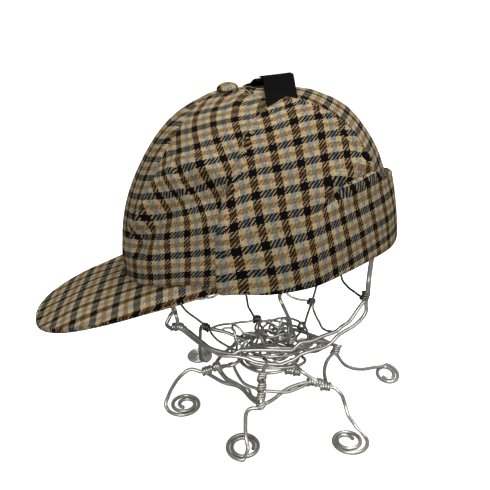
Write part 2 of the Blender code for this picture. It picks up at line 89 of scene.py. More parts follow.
# the flap's front edge, with up from 0 at the rim to 1 at the top
FLAP_FRONT = (
    {"up": 0.00, "around": 57.5},
    {"up": 0.17, "around": 58.5},
    {"up": 0.28, "around": 60.0},
    {"up": 0.39, "around": 63.0},
    {"up": 0.47, "around": 66.0},
    {"up": 0.56, "around": 73.0},
    {"up": 0.67, "around": 83.0},
    {"up": 0.735, "around": 97.0},
    {"up": 0.757, "around": 109.0},
)


# %% Reading a table and easing between values
def read_table(rows, key, column, at):
    """The values of a column where the key column equals at, smooth between rows."""
    keys = np.array([row[key] for row in rows])
    values = np.array([row[column] for row in rows])
    at = np.clip(at, keys[0], keys[-1])
    first = np.clip(np.searchsorted(keys, at, side="right") - 1, 0, len(keys) - 2)
    span = keys[first + 1] - keys[first]
    t = (at - keys[first]) / span
    before = np.maximum(np.arange(len(keys)) - 1, 0)
    after = np.minimum(np.arange(len(keys)) + 1, len(keys) - 1)
    slope = (values[after] - values[before]) / (keys[after] - keys[before])
    h = (2 * t - 3) * t * t
    ends = values[first] * (1 + h) - values[first + 1] * h
    return ends + span * (slope[first] * t * (1 - t) ** 2 - slope[first + 1] * t * t * (1 - t))


def smooth_step(low, high, at):
    """0 below low, 1 above high and an easy rise between."""
    t = np.clip((at - low) / (high - low), 0.0, 1.0)
    return t * t * (3 - 2 * t)


def bump(at, middle, width):
    """A round hill of height 1."""
    return np.exp(-(((at - middle) / width) ** 2))


# %% The crown's outer face
def rim_reach(turn):
    side, front = np.abs(np.sin(turn)), np.abs(np.cos(turn))
    power = RIM_SQUARENESS
    across = (side / (CROWN_WIDTH / 2)) ** power + (front / (CROWN_LENGTH / 2)) ** power
    return across ** (-1 / power)


def side_curve(turn):
    """How square the crown's side is at this turn."""
    ahead = np.maximum(np.cos(turn), 0.0) ** 2
    behind = np.maximum(-np.cos(turn), 0.0) ** 2
    return ROUND_SIDE + (ROUND_FRONT - ROUND_SIDE) * ahead + (ROUND_BACK - ROUND_SIDE) * behind


def plain_crown(around, up):
    """Places on the crown before dents: around in degrees from the front, up from 0 to 1."""
    turn = np.radians(around)
    curve = side_curve(turn)
    lift = math.pi / 2 * np.clip(up, 0.0, 1.0)
    size = (np.cos(lift) / rim_reach(turn)) ** curve + (np.sin(lift) / CROWN_HEIGHT) ** curve
    size = size ** (-1 / curve)
    reach, height = size * np.cos(lift), size * np.sin(lift)
    height = height + CROWN_HEIGHT * math.pi / 2 * np.minimum(up, 0.0)
    forward = TOP_FORWARD * (height / CROWN_HEIGHT) ** 2
    return np.stack([reach * np.sin(turn), -reach * np.cos(turn) - forward, height], -1)


def crown_normal(around, up):
    """Which way the crown's face looks there; near the top, where it closes, the last good one."""
    low = np.minimum(up, 0.985)
    right = plain_crown(around + 1.0, low) - plain_crown(around - 1.0, low)
    upward = plain_crown(around, low + 0.01) - plain_crown(around, low - 0.01)
    normal = np.cross(right, upward)
    return normal / np.linalg.norm(normal, axis=-1, keepdims=True)


def folded(around):
    """Degrees from the front, the same on both sides."""
    around = np.abs(around) % 360.0
    return np.minimum(around, 360.0 - around)


def fold_height(around):
    return CROWN_HEIGHT * read_table(FLAP_FOLD, "around", "height", folded(around))


# %% [markdown]
# ## Dents, puffs and ease
# Soft cloth over a wire basket isn't smooth. The front panel has a long slanting dent with a puff
# above it, and the whole cap waves a little. They are moves of the mesh along its own normals,
# because the light has to catch them from every side.

# %% Folds of the crown: a path of places (around, up), half width and depth in metres
CROWN_FOLDS = (
    {"path": ((66, 0.41), (58, 0.455), (51, 0.46), (44, 0.42), (36, 0.355), (28, 0.27),
              (18, 0.185)),
     "width": 0.0090, "depth": -0.0064},
    {"path": ((64, 0.535), (50, 0.575), (40, 0.565), (30, 0.475), (24, 0.378), (17, 0.27)),
     "width": 0.0068, "depth": 0.0032},
    {"path": ((40, 0.555), (46, 0.471), (50, 0.385)), "width": 0.0013, "depth": -0.0022},
    {"path": ((37, 0.535), (43, 0.462), (47, 0.392)), "width": 0.0030, "depth": 0.0016},
    {"path": ((30, 0.50), (33, 0.40), (38, 0.33)), "width": 0.0025, "depth": -0.0007},
    {"path": ((52, 0.06), (30, 0.10), (12, 0.12)), "width": 0.0080, "depth": 0.0012},
)
CROWN_PUFFS = (
    {"path": ((62, 0.60), (34, 0.52)), "width": 0.0120, "depth": 0.0005},
    {"path": ((104, 0.90), (88, 0.86)), "width": 0.0096, "depth": 0.0022},
)
# the gathered cloth round the button stands up a little
MIDDLE_RISE = 0.0021
GATHER_FROM, GATHER_FULL = 0.84, 0.97
# the cloth's way from the rim to the button, in crown heights
UP_THE_SIDE = 1.4


def surface_place(around, up):
    across = np.radians(around) * CROWN_WIDTH / 2 * np.cos(up)
    return np.stack([across, up * CROWN_HEIGHT * UP_THE_SIDE], -1)


def fold_relief(folds, around, up):
    """How far folds stand out of the plain form, hollows negative."""
    here = surface_place(np.asarray(around, float), np.asarray(up, float))
    total = 0.0
    for row in folds:
        away = np.inf
        corners = [surface_place(*np.array(corner, float)) for corner in row["path"]]
        for start, end in zip(corners, corners[1:]):
            run = end - start
            along = np.clip(((here - start) @ run) / (run @ run), 0.0, 1.0)
            away = np.minimum(away, np.linalg.norm(here - start - along[..., None] * run, axis=-1))
        total = total + row["depth"] * bump(away, 0.0, row["width"])
    return total


def puff_relief(around, up):
    gathered = MIDDLE_RISE * smooth_step(GATHER_FROM, GATHER_FULL, up)
    return fold_relief(CROWN_PUFFS, folded(around), up) + gathered


# %% The small waves
WAVES = (
    {"way": (61.0, 35.0, 88.0), "phase": 0.4, "height": 0.00030},
    {"way": (-47.0, 92.0, 40.0), "phase": 2.1, "height": 0.00028},
    {"way": (120.0, -66.0, 130.0), "phase": 4.0, "height": 0.00016},
    {"way": (33.0, 150.0, -120.0), "phase": 1.2, "height": 0.00014},
)


def ease(points):
    """The small waves of unpressed wool, in metres along the normal."""
    total = 0.0
    for row in WAVES:
        total = total + row["height"] * np.sin(points @ np.array(row["way"]) + row["phase"])
    return total


# %% [markdown]
# ## Where the check lies on each piece
# A short rule per piece turns a place on the cap's plain form into repeats of the check, warp
# across and weft up. A rule of second degree can slant and bow the lines, as a curved seam and the
# easing of the cloth do.

# %% Rules of the lay: factors of 1, x, y, z, xx, yy, zz, xy, yz and xz, in decimetres
CHECK_LAY = {
    "front": {
        "warp": (6.136, 6.834, 5.503, -2.650, -5.040, -1.663, 2.035, 2.342, -1.052, 0.576),
        "weft": (7.425, -4.003, 1.538, 5.034, -7.469, -5.557, -2.792, -3.219, -1.052, 0.968),
    },
    "right": {
        "warp": (7.734, 3.584, 5.288, 0.233, -7.344, -1.037, -3.559, -0.687, 1.241, 1.129),
        "weft": (7.426, -1.441, 0.902, 5.003, -8.198, -6.070, -2.386, -1.493, -0.421, 1.155),
    },
    "lobe": {
        "warp": (5.068, -2.923, 6.523, -2.280, -5.246, -3.265, -2.492, -0.360, -0.013, 3.194),
        "weft": (6.420, -16.500, -3.234, 3.828, -1.141, -3.829, -3.634, 4.003, 0.248, 3.398),
    },
    "band": {
        "warp": (-1.889, -10.409, 3.688, -0.332, 13.328, 6.383, 2.232, 3.246, 0.852, 0.747),
        "weft": (0.417, -3.894, -3.361, 7.053, -7.424, -5.127, -3.553, 3.267, 0.811, -0.768),
    },
    "back": {
        "warp": (0.300, -5.200, 3.200),
        "weft": (1.524, -1.675, -3.910, 5.659),
    },
}
# where the folds push the front panel's warp sideways, in repeats, and how far round that is felt
PUSHED = (
    {"at": (46.0, 0.49), "by": 0.344},
    {"at": (27.0, 0.43), "by": -0.303},
    {"at": (46.0, 0.35), "by": -0.329},
)
PUSH_WIDTH = 0.016


def repeats(lay, plain, hand):
    """Cloth coordinates in repeats of the check, from places on the plain form."""
    x, y, z = plain[:, 0] * hand * 10, plain[:, 1] * 10, plain[:, 2] * 10
    terms = (1.0, x, y, z, x * x, y * y, z * z, x * y, y * z, x * z)
    warp = sum(share * term for share, term in zip(CHECK_LAY[lay]["warp"], terms))
    weft = sum(share * term for share, term in zip(CHECK_LAY[lay]["weft"], terms))
    if lay == "front":
        here = np.stack([x, y, z], -1) / 10
        for row in PUSHED:
            away = np.linalg.norm(here - plain_crown(*np.array(row["at"])), axis=1)
            warp = warp + row["by"] * bump(away, 0.0, PUSH_WIDTH)
    return np.stack([warp * hand, weft], -1)


# %% [markdown]
# ## Laying cloth
# A piece of cloth starts as a flat grid, as it would on the cutting table. Its points are moved to
# their places over the form, its check is written as a UV map, and it then gets its thickness and
# soft rolled edges from modifiers, which are applied.

# %% Helpers for one mesh
CAP_FRAME = Matrix.Translation(CAP_AT) @ Matrix.Rotation(math.radians(CAP_TIP), 4, "X")


def select_only(obj):
    bpy.ops.object.select_all(action="DESELECT")
    obj.select_set(True)
    bpy.context.view_layer.objects.active = obj


def apply_modifier(obj, kind, **settings):
    """Adds a modifier with these settings and applies it."""
    select_only(obj)
    modifier = obj.modifiers.new(kind.title(), kind)
    for key, value in settings.items():
        setattr(modifier, key, value)
    bpy.ops.object.modifier_apply(modifier=modifier.name)


def into_world(points):
    turn = np.array(CAP_FRAME)
    return points @ turn[:3, :3].T + turn[:3, 3]


def read_points(mesh):
    flat = np.empty(len(mesh.vertices) * 3, np.float32)
    mesh.vertices.foreach_get("co", flat)
    return flat.reshape(-1, 3).astype(float)


def write_cloth(mesh, points, cloth_uv):
    """Moves points of the cap's frame to their places and writes the check's UV map."""
    mesh.vertices.foreach_set("co", into_world(points).astype(np.float32).ravel())
    corner = np.empty(len(mesh.loops), np.int32)
    mesh.loops.foreach_get("vertex_index", corner)
    mesh.uv_layers[0].name = "Cloth"
    mesh.uv_layers[0].data.foreach_set("uv", cloth_uv[corner].astype(np.float32).ravel())
    return corner


# %% One piece of cloth
def lay_cloth(name, columns, rows, place, keep=None):
    """A grid moved to place(u, v), which gives points in the cap's frame and the check there."""
    bpy.ops.object.select_all(action="DESELECT")
    bpy.ops.mesh.primitive_grid_add(x_subdivisions=columns, y_subdivisions=rows, size=1.0)
    cloth = bpy.context.active_object
    cloth.name = name
    mesh = cloth.data
    mesh.name = name
    flat = read_points(mesh) + 0.5
    u, v = flat[:, 0], flat[:, 1]
    corner = write_cloth(mesh, *place(u, v))
    if keep is not None:
        # cut away the faces that aren't part of this piece
        starts = np.empty(len(mesh.polygons), np.int32)
        mesh.polygons.foreach_get("loop_start", starts)
        quads = corner[starts[:, None] + np.arange(4)]
        unwanted = ~keep(u[quads].mean(1), v[quads].mean(1))
        select_only(cloth)
        mesh.polygons.foreach_set("select", unwanted)
        mesh.vertices.foreach_set("select", np.zeros(len(mesh.vertices), bool))
        mesh.edges.foreach_set("select", np.zeros(len(mesh.edges), bool))
        bpy.ops.object.mode_set(mode="EDIT")
        bpy.ops.mesh.select_mode(type="FACE")
        bpy.ops.mesh.delete(type="FACE")
        bpy.ops.object.mode_set(mode="OBJECT")
    mesh.update()
    return cloth


def sheet_area(cloth):
    return sum(face.area for face in cloth.data.polygons)


# %% Thinner edges, and the wall
# the centre back seam isn't an edge: cloth this near the middle keeps its full thickness
SEAM_KEEPS = 0.003


def thin_towards_edges(cloth, least, within):
    """A vertex group that is least at the cloth's edge and 1 from this far inside it."""
    mesh = cloth.data
    faces_at = np.zeros(len(mesh.edges), int)
    edge_of = np.empty(len(mesh.loops), np.int32)
    mesh.loops.foreach_get("edge_index", edge_of)
    np.add.at(faces_at, edge_of, 1)
    ends = np.empty(len(mesh.edges) * 2, np.int32)
    mesh.edges.foreach_get("vertices", ends)
    rim = [index for index in np.unique(ends.reshape(-1, 2)[faces_at == 1])
           if abs(mesh.vertices[index].co.x - CAP_AT[0]) > SEAM_KEEPS]
    tree = KDTree(len(rim))
    for number, index in enumerate(rim):
        tree.insert(mesh.vertices[index].co, number)
    tree.balance()
    group = cloth.vertex_groups.new(name="thickness")
    for vertex in mesh.vertices:
        away = tree.find(vertex.co)[2]
        share = float(smooth_step(0.0, 1.0, away / within)) ** 0.6
        group.add([vertex.index], least + (1 - least) * share, "REPLACE")
    return {"vertex_group": "thickness", "thickness_vertex_group": 0.0}


def give_wall(cloth, wall, offset, roll, **extra):
    """Thickness along the normals, then edges rolled to this radius."""
    apply_modifier(cloth, "SOLIDIFY", thickness=wall, offset=offset, use_quality_normals=True,
                   **extra)
    apply_modifier(cloth, "BEVEL", width=roll, segments=3, limit_method="ANGLE",
                   angle_limit=math.radians(50), use_clamp_overlap=True)
    cloth.data.shade_smooth()


# %% [markdown]
# ## The crown
# Two front panels meet in a seam that sways to the wearer's left, and two back panels meet them
# under the flaps. At each seam the cloth turns in, so the panel edge dips and the cloth beside it
# puffs. The check doesn't meet across the front seam on the real cap, and doesn't here.

# %% How the panels meet
SEAM_LAP = 0.0002
EYELET = 0.0040
FLAP_CLOTH = 0.0028
SEAT_GAP = 0.0005
PEAK_END_AT = 57.0
RIM_BLEND = 9.0
# where, going up, the front seam leaves the middle and where it comes back
SWAY_OUT, SWAY_BACK = (0.02, 0.46), (0.72, 0.98)
VALLEY_DEPTH, VALLEY_WIDTH = 0.0011, 0.0014
PUFF_HEIGHT, PUFF_AT, PUFF_WIDTH = 0.0005, 0.0055, 0.0040
PUCKER_HEIGHT, PUCKER_RATE, PUCKER_REACH = 0.00022, 620.0, 0.006


def peak_lean(across):
    return across * math.tan(math.radians(PEAK_TWIST))


def rim_height(around):
    """The crown's lower edge: the peak's seam in front, above the flap's fold elsewhere."""
    seam = CROWN_HEIGHT * read_table(PEAK_SEAM, "around", "height", folded(around))
    seam = seam + peak_lean(plain_crown(around, np.zeros_like(around))[..., 0])
    over_fold = fold_height(around) + FLAP_CLOTH + SEAT_GAP
    meeting = PEAK_END_AT + np.where(seam > over_fold, RIM_BLEND, 0.0)
    share = smooth_step(meeting - RIM_BLEND, meeting, folded(around))
    return seam + (over_fold - seam) * share


def seam_turn(seam, up):
    """Around, along a seam: the front seam sways, the others run straight up."""
    if seam == 0.0:
        return SEAM_SWAY * smooth_step(*SWAY_OUT, up) * (1 - smooth_step(*SWAY_BACK, up))
    return np.full_like(up, seam)


def seam_pull(distance, along):
    """A seam's own relief: a tight valley, the puff beside it and small puckers."""
    relief = -VALLEY_DEPTH * bump(distance, 0.0, VALLEY_WIDTH)
    relief = relief + PUFF_HEIGHT * bump(distance, PUFF_AT, PUFF_WIDTH)
    return relief + PUCKER_HEIGHT * np.sin(along * PUCKER_RATE) * np.exp(-distance / PUCKER_REACH)


# %% The four panels
PANELS = (
    {"node": "crown_front_left", "seams": (0.0, SIDE_SEAM_AT), "columns": 150,
     "lay": "front", "shift": (0.0, 0.0)},
    {"node": "crown_back_left", "seams": (SIDE_SEAM_AT, 180.0), "columns": 60,
     "lay": "back", "shift": (0.0, 0.0)},
    {"node": "crown_back_right", "seams": (180.0, 360.0 - SIDE_SEAM_AT), "columns": 60,
     "lay": "back", "shift": (0.3, 0.2)},
    {"node": "crown_front_right", "seams": (-SIDE_SEAM_AT, 0.0), "columns": 150,
     "lay": "right", "shift": (0.0, 0.0)},
)
CROWN_ROWS = 130
CROWN_ROLL = 0.0006
# folds, waves and seams reach their full height this far up from the rim
FOLDS_FULL, WAVES_FULL, SEAMS_FULL = 0.06, 0.08, 0.05


def crown_panel(row):
    start, end = row["seams"]
    hand = 1 if start in (0.0, SIDE_SEAM_AT) else -1

    def place(u, v):
        up = v * (1.0 - EYELET / (CROWN_LENGTH / 2))
        reach = np.linalg.norm(plain_crown(np.full_like(up, start), up)[:, :2], axis=-1)
        lap = np.degrees(SEAM_LAP / np.maximum(reach, EYELET))
        low, high = seam_turn(start, up) - lap, seam_turn(end, up) + lap
        around = low + (high - low) * u
        plain = points = plain_crown(around, up)
        width = np.radians(high - low) * reach
        along = up * CROWN_HEIGHT * UP_THE_SIDE
        pull = seam_pull(u * width, along) + seam_pull((1 - u) * width, along)
        out = fold_relief(CROWN_FOLDS, around, up) + puff_relief(around, up)
        out = out * smooth_step(0.0, FOLDS_FULL, v) + ease(points) * smooth_step(0.0, WAVES_FULL, v)
        out = out + pull * smooth_step(0.0, SEAMS_FULL, v)
        points = points + crown_normal(around, up) * out[:, None]
        points[:, 2] += rim_height(around) * (1 - v) ** 3
        return points, repeats(row["lay"], plain, hand) + np.array(row["shift"])

    panel = lay_cloth(row["node"] + "_cloth", row["columns"], CROWN_ROWS, place)
    area = sheet_area(panel)
    give_wall(panel, CROWN_CLOTH, -1.0, CROWN_ROLL)
    return panel, area


wool_pieces = []
sheets = []
for row in PANELS:
    panel, area = crown_panel(row)
    wool_pieces.append(panel)
    sheets.append({"piece": panel, "area": area, "held": "stretched", "on": "stand_ring_top"})
    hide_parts(row["node"])
    print("%s: %.0f square cm" % (row["node"], area * 1e4))

# %% [markdown]
# ## The peak
# The real peak is a stiff board in a cloth cover, so its edge is full and round. One strip of cloth
# is laid over the top, round the edge and back underneath, and its two ends are closed under the
# crown. Its check was cut a little off the straight, along the near edge.

# %% Peak sizes and its outline
PEAK_REACH = 0.0695
PEAK_HALF_WIDTH = 0.0655
PEAK_END_WIDTH = 0.0024
PEAK_TUCK_AT = 61.0
PEAK_END_HEIGHT = 0.0005
PEAK_SQUARENESS = 2.7
PEAK_SLOPE = 10.9
PEAK_ARCH = 0.0025
# the wearer's right half of the board has sprung up a little, most of it halfway along
RIGHT_SIDE_RISE = 0.0033
RIGHT_SIDE_AT, RIGHT_SIDE_WIDTH = -0.50, 0.30
PEAK_THICKNESS = 0.0040
PEAK_SEAM_END_AT = 60.0
PEAK_CHECK = 0.0156
PEAK_CHECK_TURN = 11.3


def peak_edge(along):
    """The board's free edge, along from -1 at the wearer's right end to 1 at the left."""
    turn = math.pi / 2 * along
    power = 2.0 / PEAK_SQUARENESS
    forward = np.abs(np.cos(turn)) ** power
    end_around, rim = np.array([PEAK_TUCK_AT]), np.array([0.0])
    end = (plain_crown(end_around, rim) + crown_normal(end_around, rim) * PEAK_END_WIDTH)[0]
    half = PEAK_HALF_WIDTH + (end[0] - PEAK_HALF_WIDTH) * (1 - forward)
    across = np.sign(along) * np.abs(np.sin(turn)) ** power * half
    ahead = (CROWN_LENGTH / 2 + PEAK_REACH + end[1]) * forward
    height = PEAK_END_HEIGHT - ahead * math.tan(math.radians(PEAK_SLOPE)) + peak_lean(across)
    return np.stack([across, end[1] - ahead, height], -1)


def peak_middle(along, out):
    """The board's middle surface, out from 0 at the seam to 1 at the edge."""
    around = along * PEAK_SEAM_END_AT
    rim = np.zeros_like(around)
    seam = plain_crown(around, rim) - crown_normal(around, rim) * CROWN_CLOTH / 2
    seam[:, 2] = rim_height(around) - SEAT_GAP - PEAK_THICKNESS / 2
    points = seam + (peak_edge(along) - seam) * out[:, None]
    points[:, 2] += PEAK_ARCH * np.sin(math.pi * out) * (1 - along * along)
    points[:, 2] += RIGHT_SIDE_RISE * bump(along, RIGHT_SIDE_AT, RIGHT_SIDE_WIDTH) * out
    return points


# %% The cloth strip round the board
TOP_SHARE, EDGE_SHARE = 0.46, 0.08
# rows of faces lie closer together towards the round edge
ROW_CROWDING = 1.25
# the steps over which the board's slope is read
STEP_OUT, STEP_ALONG = 0.03, 0.004
# the board thins down to this share over the last part of each end
END_PART, END_THINNESS = 0.012, 0.60
EDGE_DIP, EDGE_DIP_WIDTH = 0.0005, 0.035
CHECK_FROM = -0.0507
CHECK_START_ACROSS, CHECK_START_AHEAD = 0.0790, 0.0699


def peak_check(base, along, wrap):
    turn = math.radians(PEAK_CHECK_TURN)
    x, ahead = base[:, 0], CHECK_FROM - base[:, 1]
    side = np.abs(along)
    x = x + np.sign(x) * wrap * side
    ahead = ahead + wrap * (1 - side)
    warp = (x * math.cos(turn) + ahead * math.sin(turn) - CHECK_START_ACROSS) / PEAK_CHECK
    weft = (ahead * math.cos(turn) - x * math.sin(turn) - CHECK_START_AHEAD) / PEAK_CHECK
    return np.stack([warp, weft], -1)


def peak_place(u, v):
    along = 2 * u - 1
    under = v > TOP_SHARE + EDGE_SHARE / 2
    roll = np.clip((v - TOP_SHARE) / EDGE_SHARE, 0.0, 1.0) * math.pi
    out = np.clip(np.where(under, (1 - v) / TOP_SHARE, v / TOP_SHARE), 0.0, 1.0)
    out = 1 - (1 - out) ** ROW_CROWDING
    base = peak_middle(along, out)
    near = peak_middle(along, np.clip(out - STEP_OUT, 0, 1))
    far = peak_middle(along, np.clip(out - STEP_OUT, 0, 1) + STEP_OUT)
    outward = far - near
    outward /= np.linalg.norm(outward, axis=-1, keepdims=True)
    left, right = (peak_middle(np.clip(along + step, -1, 1), out)
                   for step in (STEP_ALONG, -STEP_ALONG))
    upward = np.cross(left - right, outward)
    upward /= np.linalg.norm(upward, axis=-1, keepdims=True)
    upward *= np.sign(upward[:, 2:3])
    full = np.clip(np.minimum(u, 1 - u) / END_PART, 0.0, 1.0) ** 0.5
    half = PEAK_THICKNESS / 2 * (END_THINNESS + (1 - END_THINNESS) * full)[:, None]
    points = base + upward * half * np.cos(roll)[:, None]
    points = points + outward * half * (np.sin(roll) - 1)[:, None]
    soft = ease(points * 1.3) * 0.5 * np.cos(roll) * smooth_step(0.0, 0.2, out)
    dip = EDGE_DIP * bump(out, 1.0, EDGE_DIP_WIDTH) * np.cos(roll)
    points = points + upward * (soft + dip)[:, None]
    return points, peak_check(base, along, half[:, 0] * roll)


# %% Closing the strip's two ends
peak = lay_cloth("peak_cloth", 220, 100, peak_place)
peak_area = sheet_area(peak)
select_only(peak)
bpy.ops.object.mode_set(mode="EDIT")
bpy.ops.mesh.select_all(action="SELECT")
bpy.ops.mesh.remove_doubles(threshold=0.00002)
bpy.ops.mesh.select_all(action="DESELECT")
bpy.ops.mesh.select_mode(type="EDGE")
bpy.ops.mesh.select_non_manifold()
bpy.ops.mesh.fill()
bpy.ops.mesh.select_all(action="SELECT")
bpy.ops.mesh.normals_make_consistent(inside=False)
bpy.ops.object.mode_set(mode="OBJECT")
peak.data.shade_smooth()
wool_pieces.append(peak)
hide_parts("peak")
print("peak cover: %.0f square cm, both faces" % (peak_area * 1e4))

# %% [markdown]
# ## The earflaps and the neck band
# Each flap is one piece of cloth with its half of the neck band, turned up from a fold that runs
# lower than the crown's edge. A pressed crease runs where the lobe leaves the band, and another
# slants across the lobe's rear. The edges are turned in, so they are full, with a faint ridge.

# %% Flap sizes
FLAP_EASE = 0.0010
FLAP_TIP_EASE = 0.0042
FLAP_REAR_AT = 146.0
TIP_REAR_DIP = 0.090
TIP_REAR_TURN = 5.0
BAND_UP = 0.355
BAND_FLARE = 0.0012
BAND_BACK_DIP = 0.090
EVEN_LAY_AT = 69.0
FLAP_COLUMNS, LOBE_COLUMNS = 210, 150
FLAP_ROWS, BAND_ROWS, LIP_ROWS = 150, 80, 10

FLAP_CREASES = (
    {"path": ((150, 0.366), (142, 0.372), (134, 0.384), (128, 0.390), (121, 0.380), (114, 0.360)),
     "width": 0.0016, "depth": -0.0027},
    {"path": ((147, 0.408), (138, 0.418), (128, 0.428), (119, 0.418)),
     "width": 0.0042, "depth": 0.0020},
    {"path": ((150, 0.335), (138, 0.345), (126, 0.350), (114, 0.330)),
     "width": 0.0040, "depth": 0.0012},
    {"path": ((136, 0.640), (138, 0.543), (139, 0.496), (140, 0.432), (143, 0.395)),
     "width": 0.0009, "depth": -0.0012},
    {"path": ((122, 0.375), (112, 0.335), (104, 0.325)), "width": 0.0034, "depth": -0.0014},
    {"path": ((66, 0.30), (84, 0.16)), "width": 0.0090, "depth": 0.0007},
    {"path": ((64, 0.20), (72, 0.36), (76, 0.50)), "width": 0.0070, "depth": -0.0006},
    {"path": ((100, 0.60), (118, 0.66)), "width": 0.0120, "depth": 0.0008},
)

# where the lobe leaves the band
CREASE_LINE = (
    {"around": 100.0, "up": 0.300},
    {"around": 112.0, "up": 0.350},
    {"around": 121.0, "up": 0.380},
    {"around": 128.0, "up": 0.390},
    {"around": 134.0, "up": 0.384},
    {"around": 142.0, "up": 0.372},
    {"around": 150.0, "up": 0.366},
)


# %% How the flap stands off the crown, and its check
# ahead of this turn the band is pressed flat, and behind it the band flares
FLARE_FROM = 104.0
FLARE_FOOT, FLARE_END = 0.02, 0.05
TIP_LIFTS = (0.55, 0.74)
# over how much of up the two checks change over: sharp at the crease, soft in front of it
SHARP_CHANGE, SOFT_CHANGE, SHARP_FROM = 0.012, 0.10, 122.0


def flap_out(around, up):
    back = smooth_step(FLARE_FROM, FLAP_REAR_AT, around)
    rising = BAND_FLARE * back * smooth_step(FLARE_FOOT, BAND_UP, up)
    closing = BAND_FLARE * back * (1 - smooth_step(BAND_UP, BAND_UP + FLARE_END, up))
    out = FLAP_EASE + np.where(up <= BAND_UP, rising, closing)
    return out + (FLAP_TIP_EASE - FLAP_EASE) * smooth_step(*TIP_LIFTS, up)


def flap_lay(around, up):
    """The lobe's check and the band's, changing over at the crease."""
    plain = plain_crown(around, up)
    crease_up = read_table(CREASE_LINE, "around", "up", around)
    soft = SHARP_CHANGE + SOFT_CHANGE * (1 - smooth_step(FLARE_FROM, SHARP_FROM, around))
    on_lobe = smooth_step(-soft, soft, up - crease_up)[:, None]
    return repeats("lobe", plain, 1) * on_lobe + repeats("band", plain, 1) * (1 - on_lobe)


def flap_check(around, up):
    """The flap's check, which runs on evenly to the front edge ahead of one turn."""
    before = np.minimum(around - EVEN_LAY_AT, 0.0)[:, None]
    even = np.full_like(around, EVEN_LAY_AT)
    per_degree = (flap_lay(even + 4.0, up) - flap_lay(even, up)) / 4.0
    return flap_lay(np.maximum(around, EVEN_LAY_AT), up) + per_degree * before


# %% From the flat flap to its place on the crown
LOBE_SHARE = LOBE_COLUMNS / FLAP_COLUMNS
LIP_SHARE, BAND_SHARE = LIP_ROWS / FLAP_ROWS, BAND_ROWS / FLAP_ROWS
TIP_UP = FLAP_FRONT[-1]["up"]
BACK_END = 180.0 + math.degrees(SEAM_LAP / (CROWN_LENGTH / 2))
# the rear edge turns forward above this height, and the tip's rear corner hangs down from these
TIP_TURNS_FROM, TIP_DIPS_FROM, TIP_DIPS_BEHIND = 0.60, 0.55, 0.62
RIDGE, RIDGE_AT, GROOVE_AT, RIDGE_WIDTH = 0.0003, 0.0045, 0.0068, 0.0012


def flap_spot(u, v):
    """Around and up of a flap's places: the lobe in front, and behind it the band alone."""
    low = BAND_UP * np.maximum(v - LIP_SHARE, 0.0) / (BAND_SHARE - LIP_SHARE)
    high = BAND_UP + (TIP_UP - BAND_UP) * (v - BAND_SHARE) / (1 - BAND_SHARE)
    up = np.where(v <= BAND_SHARE, low, high)
    front = read_table(FLAP_FRONT, "up", "around", up)
    rear = FLAP_REAR_AT - TIP_REAR_TURN * smooth_step(TIP_TURNS_FROM, TIP_UP, up)
    lobe = u < LOBE_SHARE + 0.5 / FLAP_COLUMNS
    share = np.clip(u / LOBE_SHARE, 0.0, 1.0)
    back = np.clip((u - LOBE_SHARE) / (1 - LOBE_SHARE), 0.0, 1.0)
    on_band = FLAP_REAR_AT + (BACK_END - FLAP_REAR_AT) * back
    around = np.where(lobe, front + (rear - front) * share, on_band)
    dip = TIP_REAR_DIP * smooth_step(TIP_DIPS_BEHIND, 1.0, share)
    dip = dip * smooth_step(TIP_DIPS_FROM, TIP_UP, up)
    return around, up - np.where(lobe, dip, BAND_BACK_DIP * back * up / BAND_UP)


def edge_ridge(u, v):
    """The edge is turned in, so a faint ridge shows inside it, with a groove behind."""
    edge = np.minimum(u, np.where(v > BAND_SHARE, LOBE_SHARE - u, 1.0)) * 0.9 * CROWN_WIDTH
    top_gap = np.where(u > LOBE_SHARE, BAND_SHARE - v, 1 - v) * CROWN_HEIGHT * 1.3
    edge = np.abs(np.minimum(edge, top_gap))
    return RIDGE * bump(edge, RIDGE_AT, RIDGE_WIDTH) - RIDGE * bump(edge, GROOVE_AT, RIDGE_WIDTH)


# %% Both flaps
TURNED_IN = 0.022
FOLD_ROUND = 0.0004
# the right flap's check starts elsewhere along the cloth, as the two were cut apart
RIGHT_CHECK_SHIFT = 0.70
EDGE_THINNESS, THIN_WITHIN = 0.26, 0.0032
FLAP_ROLL = 0.0005


def flap_cloth(name, hand):
    def place(u, v):
        around, up = flap_spot(u, v)
        under = np.clip((LIP_SHARE - v) / LIP_SHARE, 0.0, 1.0)
        turn_in = np.sin(under * math.pi / 2)
        out = flap_out(around, up) * (1 - turn_in) - CROWN_CLOTH * turn_in
        points = plain_crown(around, up)
        loose = smooth_step(0.0, 0.2, v - LIP_SHARE)
        out = out + fold_relief(CROWN_PUFFS, around, up)
        waves = ease(points * 0.9) * 1.3
        out = out + (waves + fold_relief(FLAP_CREASES, around, up) + edge_ridge(u, v)) * loose
        points = points + crown_normal(around, up) * out[:, None]
        lowest = fold_height(around) + FLAP_CLOTH
        rounding = FOLD_ROUND * np.sin(under * math.pi)
        points[:, 2] += lowest * (1 - smooth_step(0.0, BAND_UP, up)) - rounding
        points[:, 0] *= hand
        lay = flap_check(around, up - under * TURNED_IN) * np.array([hand, 1.0])
        return points, lay + np.array([0.0, RIGHT_CHECK_SHIFT * (1 - hand) / 2])

    def keep(u, v):
        return (u < LOBE_SHARE) | (v < BAND_SHARE)

    flap = lay_cloth(name + "_cloth", FLAP_COLUMNS, FLAP_ROWS, place, keep)
    area = sheet_area(flap)
    thinning = thin_towards_edges(flap, EDGE_THINNESS, THIN_WITHIN)
    give_wall(flap, FLAP_CLOTH, hand, FLAP_ROLL, **thinning)
    return flap, area


